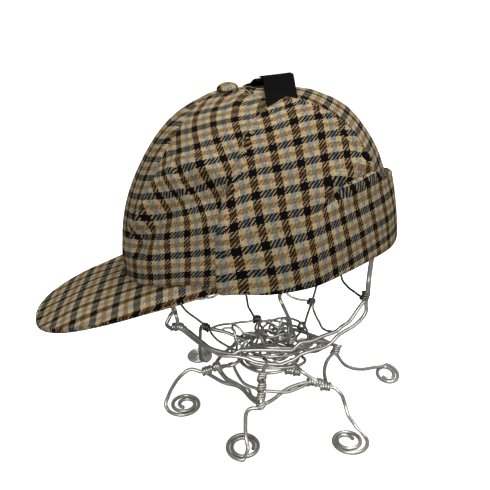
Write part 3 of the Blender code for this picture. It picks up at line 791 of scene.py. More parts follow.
for name, hand in (("earflap_left", 1), ("earflap_right", -1)):
    flap, area = flap_cloth(name, hand)
    wool_pieces.append(flap)
    rests_on = name.replace("earflap", "crown_front") + "_cloth"
    sheets.append({"piece": flap, "area": area, "held": "folded", "on": rests_on})
    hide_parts(name)
    print("%s: %.0f square cm" % (name, area * 1e4))

# %% [markdown]
# ## The covered button
# A metal shank button covered in the same cloth: a low dome, pulled tight, with its edge gathered
# and tucked under. A flattened sphere gives the dome. Its lower part is cut flat and closed.

# %% The button
BUTTON_DIAMETER = 0.0156
BUTTON_HEIGHT = 0.0056
BUTTON_FLATNESS = 0.62
GATHERS, GATHER_DEPTH, GATHERS_REACH_IN = 26, 0.00012, 0.55
BUTTON_TUCK, TUCK_HEIGHT = 0.10, 0.0012
BUTTON_CHECK = 0.0160
BUTTON_CHECK_SHIFT = np.array([0.524, 0.29])
button_top = plain_crown(np.array([0.0]), np.array([1.0]))[0] + np.array([0.0, 0.0, MIDDLE_RISE])
bpy.ops.object.select_all(action="DESELECT")
bpy.ops.mesh.primitive_uv_sphere_add(segments=64, ring_count=32, radius=BUTTON_DIAMETER / 2)
button = bpy.context.active_object
button.name = "top_button_cover"
bpy.ops.object.mode_set(mode="EDIT")
bpy.ops.mesh.select_all(action="SELECT")
bpy.ops.transform.resize(value=(1.0, 1.0, BUTTON_FLATNESS))
bpy.ops.transform.translate(value=(0.0, 0.0, BUTTON_HEIGHT - BUTTON_DIAMETER / 2 * BUTTON_FLATNESS))
bpy.ops.mesh.bisect(plane_co=(0, 0, 0.0), plane_no=(0, 0, 1), clear_inner=True, use_fill=True)
bpy.ops.object.mode_set(mode="OBJECT")

# %% Its gathers, its tucked edge and its check
cover = button.data
button_points = read_points(cover)
radius = np.linalg.norm(button_points[:, :2], axis=1)
turn = np.arctan2(button_points[:, 0], button_points[:, 1])
outwards = radius / (BUTTON_DIAMETER / 2)
gather = GATHER_DEPTH * np.sin(turn * GATHERS) * smooth_step(GATHERS_REACH_IN, 1.0, outwards)
tuck = 1 - BUTTON_TUCK * (1 - smooth_step(0.0, TUCK_HEIGHT, button_points[:, 2]))
button_points[:, :2] *= (tuck * (1 + gather / (BUTTON_DIAMETER / 2)))[:, None]
button_uv = button_points[:, 1::-1] / BUTTON_CHECK + BUTTON_CHECK_SHIFT
write_cloth(cover, button_points + button_top, button_uv)
cover.shade_smooth()
cover.update()
wool_pieces.append(button)
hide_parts("top_button")
print("button: %.1f mm across" % (BUTTON_DIAMETER * 1000))

# %% [markdown]
# ## The ribbon
# Two ends of a flat black ribbon rise from under the flap tips and meet over the crown's top. It is
# woven with fine ribs and too stiff to sag, so it stands straight between its folds.

# %% Ribbon sizes and ends
STRAP_WIDTH = 0.0230
STRAP_THICKNESS = 0.0012
STRAP_RISE = 0.0052
STRAP_BACK = 0.0112
STRAP_LAP = 0.0040
STRAP_SHOULDER = 0.0020
STRAP_DROP = 0.0004
STRAP_CLEAR = 0.0016
STRAP_STAGGER = 0.0036
RIB = 0.0009
# the upper end lies this much higher, over the other end
STRAP_OVER = 0.0014
# where the ends' two long edges come out from under the flap's tip, and how they lean
STRAP_FRONT = ((106.5, 0.64), (107.0, 0.735))
STRAP_REAR = ((133.5, 0.60), (133.5, 0.705))


def crown_over(x, y):
    """Height of the crown's outer face over level places, by halving."""
    low, high = np.zeros_like(x), np.ones_like(x)
    for _ in range(20):
        share = (low + high) / 2
        back = y + TOP_FORWARD * share ** 2
        turn = np.arctan2(x, -back)
        curve = side_curve(turn)
        inside = np.hypot(x, back) < rim_reach(turn) * (1 - share ** curve) ** (1 / curve)
        low, high = np.where(inside, share, low), np.where(inside, high, share)
    height = CROWN_HEIGHT * low
    up = np.arctan2(height, np.hypot(x, back)) / (math.pi / 2)
    return height + puff_relief(np.degrees(turn), up)


def strap_edge(tip, shift, hand, over):
    """One long edge of an end, from under the flap's tip to past the crown's middle."""
    height = CROWN_HEIGHT + STRAP_RISE + (STRAP_OVER + SEAT_GAP if over else 0.0)
    back = STRAP_BACK + (STRAP_STAGGER if over else 0.0) + shift
    line = []
    for around, up in tip:
        at, up = np.array([around]), np.array([up])
        clear = SEAT_GAP * 2 + puff_relief(at, up)[:, None]
        line.append((plain_crown(at, up) + crown_normal(at, up) * clear)[0])
    line.append(np.array([STRAP_LAP + STRAP_SHOULDER, back, height - STRAP_DROP]))
    line.append(np.array([0.0, back, height]))
    line.append(np.array([-STRAP_LAP, back, height - STRAP_DROP]))
    line = np.array(line)
    line[:, 0] *= hand
    return line


# %% Both ribbons
RIBBON_LENGTH = 0.085
RIBBON_BOW = 0.0003
RIBBON_ROLL = 0.0004


def ribbon(name, hand, over):
    front = strap_edge(STRAP_FRONT, 0.0, hand, over)
    rear = strap_edge(STRAP_REAR, STRAP_WIDTH, hand, over)
    stops = np.concatenate([[0], np.cumsum(np.linalg.norm(np.diff(front, axis=0), axis=1))])
    stops /= stops[-1]

    def place(u, v):
        sides = []
        for line in (front, rear):
            sides.append(np.stack([np.interp(v, stops, line[:, k]) for k in range(3)], -1))
        points = sides[0] + (sides[1] - sides[0]) * u[:, None]
        bow = RIBBON_BOW * np.sin(v * 9.0 + u * 2.0)
        floor = crown_over(points[:, 0], points[:, 1]) + STRAP_CLEAR
        points[:, 2] = np.maximum(points[:, 2] + bow, floor)
        return points, np.stack([u * STRAP_WIDTH / RIB, v * RIBBON_LENGTH / RIB], -1)

    piece = lay_cloth(name + "_ribbon", 24, 110, place)
    area = sheet_area(piece)
    give_wall(piece, STRAP_THICKNESS, hand, RIBBON_ROLL)
    return piece, area


ribbon_pieces = []
for name, hand, over in (("strap_left", 1, True), ("strap_right", -1, False)):
    piece, area = ribbon(name, hand, over)
    ribbon_pieces.append(piece)
    rests_on = name.replace("strap", "earflap") + "_cloth"
    sheets.append({"piece": piece, "area": area, "held": "folded", "on": rests_on})
    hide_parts(name)
    print("%s: %.0f square cm" % (name, area * 1e4))

# %% [markdown]
# ## The wire stand
# The stand is bent by hand from soft wire of a few thicknesses. Each wire is a path with a round
# section: a curve object gives both, and it is turned into a mesh once it is right. The paths are
# places in millimetres, taken along each wire, and slow waves keep them from looking ruled.

# %% Stand sizes
WIRE = 0.0029
THIN_WIRE = 0.0020
THICK_WIRE = 0.0032
MIDDLE_WIRE = THIN_WIRE * 1.2
STOUT_WIRE = THICK_WIRE * 1.25
CAGE_EASE = 0.0040
CAGE_TOP_UP = 0.74
# how far up the basket its two upper rings lie
RIM_RING_RISE, TOP_RING_RISE = 0.02, 0.97
# the floor under the feet, in the part's frame
FLOOR_LEVEL = -0.00019
# each foot's spiral is drawn out along this line, by its own share
FOOT_OVAL = np.array([0.966, -0.259, 0.0])
# how far a hand leaves a wire from its path
WAVER, SMALL_WAVER = 0.0004, 0.0003
# the points between two corners of a quarter of a wire's section
WIRE_ROUNDNESS = 4


# %% Bending a wire
def heading(turn):
    return np.array([math.sin(math.radians(turn)), -math.cos(math.radians(turn)), 0.0])


def in_metres(places):
    return [np.array(place) / 1000 for place in places]


def smooth_path(corners, steps, closed=False):
    """Points of an easy curve through the corners."""
    corners = [np.asarray(corner, float) for corner in corners]
    count = len(corners)
    points = []
    for i in range(count if closed else count - 1):
        if closed:
            before, start, end, after = (corners[(i + k) % count] for k in (-1, 0, 1, 2))
        else:
            before, start = corners[max(i - 1, 0)], corners[i]
            end, after = corners[i + 1], corners[min(i + 2, count - 1)]
        for k in range(steps):
            t = k / steps
            h = (2 * t - 3) * t * t
            points.append(start * (1 + h) - end * h + (end - before) / 2 * (t * (1 - t) ** 2)
                          - (after - start) / 2 * (t * t * (1 - t)))
    if not closed:
        points.append(corners[-1])
    return np.array(points)


def hand_bent(points, amount, seed, closed=False):
    """Slow waves along the path, as a hand leaves them."""
    draw = np.random.default_rng(seed)
    steps = np.linspace(0, 2 * math.pi, len(points), endpoint=not closed)
    wave = np.zeros((len(points), 3))
    for rate in (2, 3, 5, 8):
        phase = draw.uniform(0, 2 * math.pi, 3)
        wave += np.sin(rate * steps[:, None] + phase) / rate
    return points + wave * amount


def bend_wire(name, strands, closed=False):
    """Round wires along strands of (points, thickness), made one mesh; closed is for the first."""
    curve = bpy.data.curves.new(name, "CURVE")
    curve.dimensions = "3D"
    curve.bevel_depth = WIRE / 2
    curve.bevel_resolution = WIRE_ROUNDNESS
    curve.use_fill_caps = True
    for number, (points, thick) in enumerate(strands):
        spline = curve.splines.new("POLY")
        spline.points.add(len(points) - 1)
        flat = np.ones((len(points), 4))
        flat[:, :3] = points
        spline.points.foreach_set("co", flat.ravel())
        spline.points.foreach_set("radius", np.full(len(points), thick / WIRE))
        spline.use_cyclic_u = closed and number == 0
    wire = bpy.data.objects.new(name, curve)
    bpy.context.scene.collection.objects.link(wire)
    select_only(wire)
    bpy.ops.object.convert(target="MESH")
    wire = bpy.context.active_object
    wire.data.shade_smooth()
    return wire


# %% A knot of wound wire
KNOT_STEPS = 14
KNOT_RADIUS = 0.0026
# the turns differ a little in size, and lie a shade closer than side by side
KNOT_UNEVEN, KNOT_CLOSENESS = 0.12, 0.95


def wrapped(knot):
    """Thin wire wound round another, about the direction along, its ends snipped."""
    along = np.array(knot["along"], float) / np.linalg.norm(knot["along"])
    first = np.cross(along, (0.0, 0.0, 1.0) if abs(along[2]) < 0.9 else (1.0, 0.0, 0.0))
    first /= np.linalg.norm(first)
    second = np.cross(along, first)
    points = []
    for k in range(int(knot["turns"] * KNOT_STEPS) + 1):
        turn = 2 * math.pi * k / KNOT_STEPS
        reach = KNOT_RADIUS * (1.0 + KNOT_UNEVEN * math.sin(turn * 0.7))
        along_by = (k / KNOT_STEPS - knot["turns"] / 2) * THIN_WIRE * KNOT_CLOSENESS
        point = np.array(knot["at"]) / 1000 + first * math.cos(turn) * reach
        points.append(point + second * math.sin(turn) * reach + along * along_by)
    return np.array(points), THIN_WIRE


# %% [markdown]
# ## Legs and feet
# Six wires leave the hub, kneel over the base ring and wind into a flat spiral foot each. Their
# paths follow what shows of them in the picture, and are guessed where other wires hide them.

# %% Legs: foot, drift and path in millimetres, size and inner in metres
# land is the turn at which the wire reaches its foot, and drift moves the spiral's inner end
LEGS = (
    {"foot": (-3, -42), "land": 20.0, "oval": 0.25, "drift": (0.0, 2.4), "wind": 1,
     "size": 0.0138, "inner": 0.0046, "turns": 2.1, "path": (
        (12, 8, 48), (24, -6, 47), (15, -13, 42), (8, -23, 36), (9, -29, 36), (6, -36, 37.5),
        (5, -41, 35), (3, -47, 28), (0, -52, 19), (-1, -55, 11), (0, -57, 5))},
    {"foot": (67, -8), "land": 74.0, "oval": 0.35, "drift": (0.0, 0.0), "wind": -1,
     "size": 0.0130, "inner": 0.0072, "turns": 1.8, "path": (
        (30, 20, 49), (50, 9, 47), (60, 7, 42), (66, 5, 37), (67, 6, 32.5), (68, 2, 33),
        (67, -3, 32.5), (66, -6, 28), (67, -7, 19), (70, -7, 9), (76, -7.5, 3.8))},
    {"foot": (80, 71), "land": 184.0, "oval": 0.2, "drift": (-2.0, -2.2), "wind": -1,
     "size": 0.0136, "inner": 0.0056, "turns": 2.0, "path": (
        (32, 38, 50), (45, 43, 46), (48, 51, 40), (54, 61, 36), (57, 66, 35), (60, 70, 31),
        (61, 73, 22.5), (65, 75, 14.5), (68, 79, 8), (73, 83, 3.6))},
    {"foot": (-12, 141), "land": 241.0, "oval": 0.7, "drift": (0.0, 0.0), "wind": -1,
     "size": 0.0104, "inner": 0.0050, "turns": 1.6, "path": (
        (6, 58, 52), (10, 68, 52), (4, 84, 44), (1, 89, 32), (1, 95, 23), (-1, 104, 17),
        (-7, 118, 11.5), (-16, 131, 6.5), (-21, 140, 3.4))},
    {"foot": (-81, 93), "land": 310.0, "oval": 0.25, "drift": (0.0, 0.0), "wind": -1,
     "size": 0.0130, "inner": 0.0050, "turns": 2.2, "path": (
        (-22, 42, 47), (-38, 49, 43), (-55, 57, 38), (-62, 62, 36), (-70, 72, 24), (-82, 79, 8),
        (-88, 82, 3.6))},
    {"foot": (-85, -14), "land": 120.0, "oval": 0.3, "drift": (0.0, 0.0), "wind": 1,
     "size": 0.0112, "inner": 0.0016, "turns": 3.2, "path": (
        (-10, 14, 48), (-22, -4, 54), (-29, -17, 56), (-38, -20, 52), (-50, -19, 34),
        (-62, -17, 15), (-70, -14, 5))},
)

# %% Each leg and its foot
FOOT_STEPS = 40
# so many points of a leg ease over into its foot
EASED_POINTS = 10


def foot_spiral(row):
    """A flat spiral from its size in to its inner reach."""
    centre = np.array([*row["foot"], 0.0]) / 1000 + np.array([0, 0, FLOOR_LEVEL + WIRE / 2])
    drift = np.array([*row["drift"], 0.0]) / 1000
    points = []
    count = int(row["turns"] * FOOT_STEPS)
    for k in range(count + 1):
        share = k / count
        reach = row["size"] + (row["inner"] - row["size"]) * share
        away = heading(row["land"] + 360.0 * row["turns"] * share * row["wind"]) * reach
        points.append(centre + away + FOOT_OVAL * (away @ FOOT_OVAL) * row["oval"] + drift * share)
    return np.array(points)


wire_pieces = []
for number, row in enumerate(LEGS, 1):
    foot = foot_spiral(row)
    path = smooth_path(in_metres(row["path"]) + [foot[0]], 8)[:-1]
    upper = hand_bent(path, SMALL_WAVER, 40 + number)
    share = np.linspace(0.0, 1.0, EASED_POINTS)[:, None]
    upper[-EASED_POINTS:] += (foot[0] - upper[-1] - (upper[-1] - upper[-2])) * share ** 2
    leg = bend_wire(f"stand_leg_{number}_wire", [(np.concatenate([upper, foot]), WIRE)])
    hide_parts(f"stand_leg_{number}")
    wire_pieces.append(leg)
print("legs:", len(LEGS))

# %% [markdown]
# ## Base ring and hub
# The base ring ties the knees, doubled in front and braced across, and is wrapped at each knee. The
# hub is no neat coil: it is a tangle of loops that were wound round each other by hand.

# %% Base ring: paths and places of knots in millimetres
BASE_RING = (
    (7, -25, 35), (18, -20, 34.5), (28, -14, 34), (35, -6, 34), (44, -2, 34), (55, 0, 34),
    (63, 3, 34), (65, 8, 34), (61, 15, 34), (57, 20, 34), (52, 29, 36), (49, 39, 37), (48, 50, 37),
    (54, 60, 35), (33, 66, 36), (18, 73, 37), (3, 85, 38), (-9, 88, 37), (-35, 76, 36),
    (-55, 57, 35), (-46, 32, 36), (-28, 8, 38), (-8, -8, 40), (4, -18, 37))
SECOND_STRAND = (
    (8, -17, 38), (20, -14, 37), (32, -11, 36), (40, -4, 36), (46, 1, 36), (56, 1, 36), (62, 5, 36))
BRACE = (
    (24, -6, 47), (32, -4, 42), (41, -1, 38.5), (49, 6, 38), (54, 12, 38), (57, 24, 37),
    (55, 32, 36), (51, 42, 36), (46, 51, 36), (51, 55, 36), (54, 60, 35))
THIRD_STRAND = (
    (24, -6, 48), (16, -8, 43), (14, -14, 39), (26, -12, 37), (36, -6, 37), (46, -1, 37))
KNEE_KNOTS = (
    {"at": (8, -24, 36), "along": (0, 1, 0.3), "turns": 4.0},
    {"at": (12, -17, 41), "along": (0.4, 0.8, 0.5), "turns": 3.0},
    {"at": (66, 5, 34), "along": (0.2, -0.2, 1.0), "turns": 3.0},
    {"at": (63, 6, 38.5), "along": (-0.6, 0.2, 0.8), "turns": 3.0},
    {"at": (57, 8, 42.5), "along": (-0.6, 0.2, 0.6), "turns": 3.0},
    {"at": (50, 10, 47), "along": (-0.8, 0.3, 0.4), "turns": 3.0},
    {"at": (54, 60, 35.5), "along": (0.3, 0.9, 0), "turns": 4.0},
    {"at": (50, 56, 37), "along": (0.5, 0.8, 0), "turns": 3.0},
    {"at": (47, 50, 37), "along": (0.1, 1, 0), "turns": 3.0},
    {"at": (2, 87, 38), "along": (0, 0.4, 1), "turns": 5.0},
    {"at": (38, 42, 42), "along": (0.4, 1, 0), "turns": 3.0},
    {"at": (36, 36, 43), "along": (0.4, 1, 0), "turns": 3.0},
)

# %% Bending the ring, its strands and its knots
strands = [(hand_bent(smooth_path(in_metres(BASE_RING), 6, True), WAVER, 7, True), WIRE)]
for number, path in enumerate((SECOND_STRAND, BRACE, THIRD_STRAND)):
    strands.append((hand_bent(smooth_path(in_metres(path), 6), WAVER, 20 + number), MIDDLE_WIRE))
strands += [wrapped(knot) for knot in KNEE_KNOTS]
base_ring = bend_wire("stand_base_ring_wire", strands, closed=True)
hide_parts("stand_base_ring")
wire_pieces.append(base_ring)

# %% The tangled hub: places and sizes in millimetres
TANGLES = (
    {"at": (4, 32, 50), "turns": 5.0, "reach": 19.0, "spread": 9.0, "tall": 8.0, "start": 0.4,
     "thick": THIN_WIRE},
    {"at": (0, 37, 53), "turns": 8.0, "reach": 9.0, "spread": 4.0, "tall": 9.0, "start": 2.1,
     "thick": THIN_WIRE},
    {"at": (12, 30, 44), "turns": 3.0, "reach": 21.0, "spread": 6.0, "tall": 4.0, "start": 4.0,
     "thick": MIDDLE_WIRE},
    {"at": (-12, 12, 52), "turns": 2.5, "reach": 10.0, "spread": 4.0, "tall": 7.0, "start": 1.0,
     "thick": THIN_WIRE},
)
HUB_TIES = (
    ((-24, -5, 53), (-23, -3, 56), (-22, 1, 57), (-20, 5, 54), (-17, 5, 50), (-13, 5, 45),
     (-9, 4, 41)),
    ((-4, 38, 58), (-8, 42, 65), (-6, 46, 66), (2, 48, 60), (8, 44, 54)),
    ((-21, 73, 72), (-15, 73, 66), (-5, 74, 61), (8, 75, 60), (23, 78, 65)),
    ((14, 50, 50), (16, 57, 48), (12, 66, 48), (8, 74, 48), (4, 82, 44)),
    ((18, 44, 52), (14, 58, 52), (8, 70, 50), (4, 80, 46)),
)


# %% Winding the hub
def tangle(row):
    """Loops that wander in size, height and place, as wire does when it is wound by hand."""
    count = int(row["turns"] * 30)
    turn = row["start"] + np.linspace(0.0, 2 * math.pi * row["turns"], count)
    reach = row["reach"] + row["spread"] * np.sin(turn * 0.37 + row["start"])
    reach = reach + row["spread"] * 0.3 * np.sin(turn * 2.3)
    height = row["tall"] * np.sin(turn * 0.61 + row["start"])
    height = height + row["tall"] * 0.5 * np.sin(turn * 1.7)
    wander = np.stack([np.sin(turn * 0.23), np.cos(turn * 0.31), 0 * turn], -1)
    loops = np.stack([reach * np.sin(turn), -reach * np.cos(turn), height], -1)
    return (np.array(row["at"]) + 4.0 * wander + loops) / 1000, row["thick"]


strands = [tangle(row) for row in TANGLES]
for number, path in enumerate(HUB_TIES):
    strands.append((hand_bent(smooth_path(in_metres(path), 6), WAVER, 30 + number), THIN_WIRE))
hub = bend_wire("stand_hub_coil_wire", strands)
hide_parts("stand_hub_coil")
wire_pieces.append(hub)

# %% [markdown]
# ## The basket
# Two thick wires swing from the front of the cap round the near side of the hub to one knot
# behind, from which a stout and a thin one go up. Four more climb from the hub. All go on inside
# the cap and follow its form, and three rings tie them.


# %% The basket's form inside the cap
def cage_point(around, rise, out=0.0):
    """A place on the basket inside the cap, rise 0 at the rim and 1 at the top."""
    wire_room = CROWN_CLOTH + SEAT_GAP * 3 + WIRE * 1.5
    inward = wire_room + CAGE_EASE * (1 - rise) ** 1.5 - out
    at, up = np.array([around]), np.array([CAGE_TOP_UP * rise])
    return into_world(plain_crown(at, up) - crown_normal(at, up) * inward)[0]


# %% Ribs: rim is the turn at which a rib goes in under the cap, path in millimetres
RIBS = (
    {"rim": 352.0, "thick": THICK_WIRE, "path": (
        (18, 103, 87), (20, 97, 81), (22, 90, 73), (25, 82, 70), (26, 77, 67), (28, 65, 65),
        (30, 55, 63), (31, 46, 63), (31, 41, 59), (32, 36, 58), (29, 19, 59), (26, 6, 59),
        (23, 0, 58), (21, -6, 55), (15, -14, 55), (9, -21, 56), (1, -27, 59), (-11, -37, 65),
        (-15, -41, 65), (-20, -48, 63), (-24, -51, 65), (-25, -48, 71), (-26, -46, 80)),
     "knots": ({"at": (-14, -41, 66), "along": (0.6, 1, 0), "turns": 3.5},
               {"at": (-18, -45, 64.5), "along": (0.6, 1, 0), "turns": 3.0})},
    {"rim": 8.0, "thick": THICK_WIRE, "path": (
        (18, 105, 86), (19, 105, 79), (20, 102, 74), (23, 94, 69), (26, 84, 66), (28, 78, 64),
        (29, 72, 59), (30, 65, 56), (33, 54, 56), (33, 46, 54), (34, 40, 51), (34, 33, 49),
        (34, 29, 48), (31, 12, 50), (27, 3, 53), (23, -6, 54), (18, -14, 53), (12, -19, 54),
        (4, -26, 56), (-10, -37, 62), (-15, -42, 66), (-16, -44, 75), (-18, -47, 84)),
     "knots": ()},
    {"rim": 92.0, "thick": WIRE, "path": (
        (4, 46, 50), (9, 45, 53), (12, 44, 65), (16, 42, 75), (20, 38, 84), (24, 33, 94),
        (27, 30, 103)),
     "knots": ({"at": (10, 45, 56), "along": (0.2, 0, 1), "turns": 3.0},)},
    {"rim": 205.0, "thick": THIN_WIRE, "path": (
        (18, 105, 88), (13, 102, 89), (3, 101, 89), (-8, 98, 91), (-18, 96, 100)),
     "knots": ({"at": (17, 104, 91), "along": (0, 0.3, 1), "turns": 4.0},)},
    {"rim": 172.0, "thick": STOUT_WIRE, "path": (
        (18, 104, 86), (18, 105, 91), (18, 106, 97), (18, 106, 103), (17, 107, 112)),
     "knots": ()},
    {"rim": 232.0, "thick": THIN_WIRE, "path": (
        (-2, 46, 47), (-4, 51, 47), (-8, 59, 53), (-12, 63, 57), (-18, 68, 65), (-24, 74, 74),
        (-30, 79, 82), (-38, 84, 96)),
     "knots": ({"at": (-24, 73, 72), "along": (-0.3, 0.4, 1), "turns": 3.0},
               {"at": (-15, 62, 55), "along": (1, 0.2, 0.4), "turns": 2.5})},
    {"rim": 272.0, "thick": THIN_WIRE, "path": (
        (-6, 34, 50), (-14, 32, 50), (-27, 29, 54), (-35, 27, 56), (-43, 25, 60), (-49, 24, 63),
        (-55, 24, 69), (-66, 22, 90)),
     "knots": ({"at": (-35, 28, 56), "along": (0, 1, 0), "turns": 3.0},)},
    {"rim": 330.0, "thick": THIN_WIRE, "path": (
        (-5, 28, 54), (-13, 12, 51), (-18, 3, 52), (-23, -5, 53), (-27, -12, 54), (-29, -17, 57),
        (-31, -25, 64), (-33, -32, 70), (-34, -37, 77), (-38, -50, 96)),
     "knots": ({"at": (-29, -17, 56), "along": (-0.2, -1, 0.5), "turns": 3.0},)},
)

# %% Bending the ribs
for number, row in enumerate(RIBS, 1):
    corners = in_metres(row["path"]) + [cage_point(row["rim"], k / 7.0) for k in range(8)]
    strands = [(hand_bent(smooth_path(corners, 6), SMALL_WAVER, 60 + number), row["thick"])]
    strands += [wrapped(knot) for knot in row["knots"]]
    rib = bend_wire(f"stand_rib_{number}_wire", strands)
    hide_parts(f"stand_rib_{number}")
    wire_pieces.append(rib)

# %% Rings that tie the ribs, the lowest with two loose ties near it
LOW_RING = (
    (-24, -13, 57), (-31, -3, 56), (-36, 7, 54), (-37, 15, 54), (-36, 22, 54), (-35, 27, 55),
    (-33, 32, 54), (-32, 39, 55), (-28, 48, 54), (-23, 54, 53), (-16, 61, 53), (-5, 63, 52),
    (4, 63, 50), (13, 52, 48), (18, 32, 46), (12, 10, 47), (-6, -8, 51), (-17, -15, 56))
NEAR_TIES = (
    ((-36, 50, 88), (-33, 54, 78), (-29, 61, 74), (-26, 69, 73), (-24, 73, 72)),
    ((-6, -44, 112), (0, -37, 99), (2, -32, 96.5), (5, -23, 97), (7, -15, 100), (9, -4, 114)),
)

# %% Bending the rings
rings = {"low": [(smooth_path(in_metres(LOW_RING), 6, True), THIN_WIRE)]}
rings["low"] += [(smooth_path(in_metres(path), 6), THIN_WIRE) for path in NEAR_TIES]
for name, rise in (("rim", RIM_RING_RISE), ("top", TOP_RING_RISE)):
    inside_ribs = [cage_point(360.0 * k / 96, rise, WIRE + SEAT_GAP) for k in range(96)]
    rings[name] = [(np.array(inside_ribs), WIRE)]
for name, strands in rings.items():
    strands[0] = (hand_bent(strands[0][0], WAVER, len(name) + 5, True), strands[0][1])
    ring = bend_wire(f"stand_ring_{name}_wire", strands, closed=True)
    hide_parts(f"stand_ring_{name}")
    wire_pieces.append(ring)
print("wires:", len(wire_pieces))

# %% [markdown]
# ## Colours and nodes
# Colours are written as they look on a screen and turned to linear light by one function. One small
# helper adds a node with its settings and links.


# %% Helpers for materials
def hex_colour(code):
    """sRGB hex to linear."""
    parts = [int(code[k:k + 2], 16) / 255 for k in (1, 3, 5)]
    return (*[c / 12.92 if c <= 0.04045 else ((c + 0.055) / 1.055) ** 2.4 for c in parts], 1.0)


def add_node(tree, kind, inputs=None, **settings):
    """A node with settings; inputs are values or sockets, by name or number."""
    node = tree.nodes.new(kind)
    for key, value in settings.items():
        setattr(node, key, value)
    for key, value in (inputs or {}).items():
        if isinstance(value, bpy.types.NodeSocket):
            tree.links.new(value, node.inputs[key])
        else:
            node.inputs[key].default_value = value
    return node


def new_material(name, **values):
    material = bpy.data.materials.new(name)
    material.use_nodes = True
    shader = material.node_tree.nodes["Principled BSDF"]
    for key, value in values.items():
        shader.inputs[key.replace("_", " ").title()].default_value = value
    return material, material.node_tree, shader


def dress(piece, material):
    """Gives a piece this one material."""
    piece.data.materials.clear()
    piece.data.materials.append(material)


def stripes(tree, along, bands):
    """Hard-edged bands of colour over one repeat."""
    ramp = add_node(tree, "ShaderNodeValToRGB", {0: along})
    ramp.color_ramp.interpolation = "CONSTANT"
    stops = ramp.color_ramp.elements
    while len(stops) < len(bands):
        stops.new(0.5)
    for stop, (start, code) in zip(stops, bands):
        stop.position = start
        stop.color = hex_colour(code)
    return ramp.outputs["Color"]


# %% [markdown]
# ## Checked wool
# Woollen twill in a traditional gun-club check: about 26 threads of soft spun yarn, 0.6 mm each,
# to a repeat of 16 mm. It is drawn with 22, so that the strokes still show in the picture. Every
# thread passes over two and under two, one step further each row, and that gives the slanting
# strokes. Warp and weft have their own stripes, and the one on top shows.

# %% The wool and its threads
THREADS = 22.0
# how far the weave wanders, and where the first stripe lies, in repeats
WANDER = 0.035
FIRST_STRIPE = (0.136, 0.159, 0.0)
wool, tree, shader = new_material("Gun-club checked wool twill", roughness=0.92)
shader.inputs["Specular IOR Level"].default_value = 0.03
shader.inputs["Sheen Weight"].default_value = 0.02
shader.inputs["Sheen Roughness"].default_value = 0.45
shader.inputs["Sheen Tint"].default_value = hex_colour("#BFAF90")
cloth_map = add_node(tree, "ShaderNodeUVMap", uv_map="Cloth").outputs["UV"]
place_in_object = add_node(tree, "ShaderNodeTexCoord").outputs["Object"]
wander = add_node(tree, "ShaderNodeTexNoise",
                  {"Vector": place_in_object, "Scale": 140.0, "Detail": 2.0})
wander = add_node(tree, "ShaderNodeVectorMath", {0: wander.outputs["Color"], 1: (0.5, 0.5, 0.5)},
                  operation="SUBTRACT")
wander = add_node(tree, "ShaderNodeVectorMath", {0: wander.outputs[0], "Scale": WANDER},
                  operation="SCALE")
for offset in (wander.outputs[0], FIRST_STRIPE):
    moved = add_node(tree, "ShaderNodeVectorMath", {0: cloth_map, 1: offset}, operation="ADD")
    cloth_map = moved.outputs[0]
parts = add_node(tree, "ShaderNodeSeparateXYZ", {0: cloth_map})


def math_node(operation, first, second=0.0):
    return add_node(tree, "ShaderNodeMath", {0: first, 1: second}, operation=operation).outputs[0]


warp_at, weft_at = parts.outputs["X"], parts.outputs["Y"]
warp_thread = math_node("MULTIPLY", warp_at, THREADS)
weft_thread = math_node("MULTIPLY", weft_at, THREADS)
warp_across, weft_across = math_node("FRACT", warp_thread), math_node("FRACT", weft_thread)
step = math_node("SUBTRACT", math_node("FLOOR", warp_thread), math_node("FLOOR", weft_thread))
step = math_node("FLOORED_MODULO", step, 4.0)
warp_on_top = math_node("LESS_THAN", step, 1.5)
warp_colour = stripes(tree, math_node("FRACT", warp_at), (
    (0.0, "#1C120E"), (7 / 22, "#AF9C78"), (12 / 22, "#727D81"), (17 / 22, "#AF9C78")))
weft_colour = stripes(tree, math_node("FRACT", weft_at), (
    (0.0, "#05070C"), (7 / 22, "#AF9C78"), (12 / 22, "#7E613C"), (17 / 22, "#AF9C78")))
woven = add_node(tree, "ShaderNodeMix", {0: warp_on_top, 6: weft_colour, 7: warp_colour},
                 data_type="RGBA")

# %% Floats of the twill
# a float is round across its thread and arched along its length
round_warp = math_node("SINE", math_node("MULTIPLY", warp_across, math.pi))
round_weft = math_node("SINE", math_node("MULTIPLY", weft_across, math.pi))
along_warp = math_node("SUBTRACT", math_node("ADD", step, 1.0), weft_across)
warp_float = math_node("MULTIPLY", along_warp, math.pi / 2)
along_weft = math_node("ADD", math_node("SUBTRACT", step, 2.0), warp_across)
weft_float = math_node("MULTIPLY", along_weft, math.pi / 2)
warp_height = math_node("MULTIPLY", round_warp, math_node("SINE", warp_float))
weft_height = math_node("MULTIPLY", round_weft, math_node("SINE", weft_float))
thread_height = add_node(tree, "ShaderNodeMix",
                         {0: warp_on_top, 2: weft_height, 3: warp_height}).outputs[0]

# between the rounded top threads the gaps take the darker of the two yarns: partly the dark yarn
# beneath, partly painted shade in the gaps, so dark strokes look wider than light ones
across_top = add_node(tree, "ShaderNodeMix",
                      {0: warp_on_top, 2: round_weft, 3: round_warp}).outputs[0]
cover = add_node(tree, "ShaderNodeMapRange",
                 {0: across_top, 1: 0.50, 2: 0.90}, clamp=True).outputs[0]
gap_yarn_and_painted_shade = add_node(tree, "ShaderNodeMix", {0: 1.0, 6: warp_colour, 7: weft_colour},
                   data_type="RGBA", blend_type="DARKEN")
woven = add_node(tree, "ShaderNodeMix", {0: cover, 6: gap_yarn_and_painted_shade.outputs[2], 7: woven.outputs[2]},
                 data_type="RGBA")
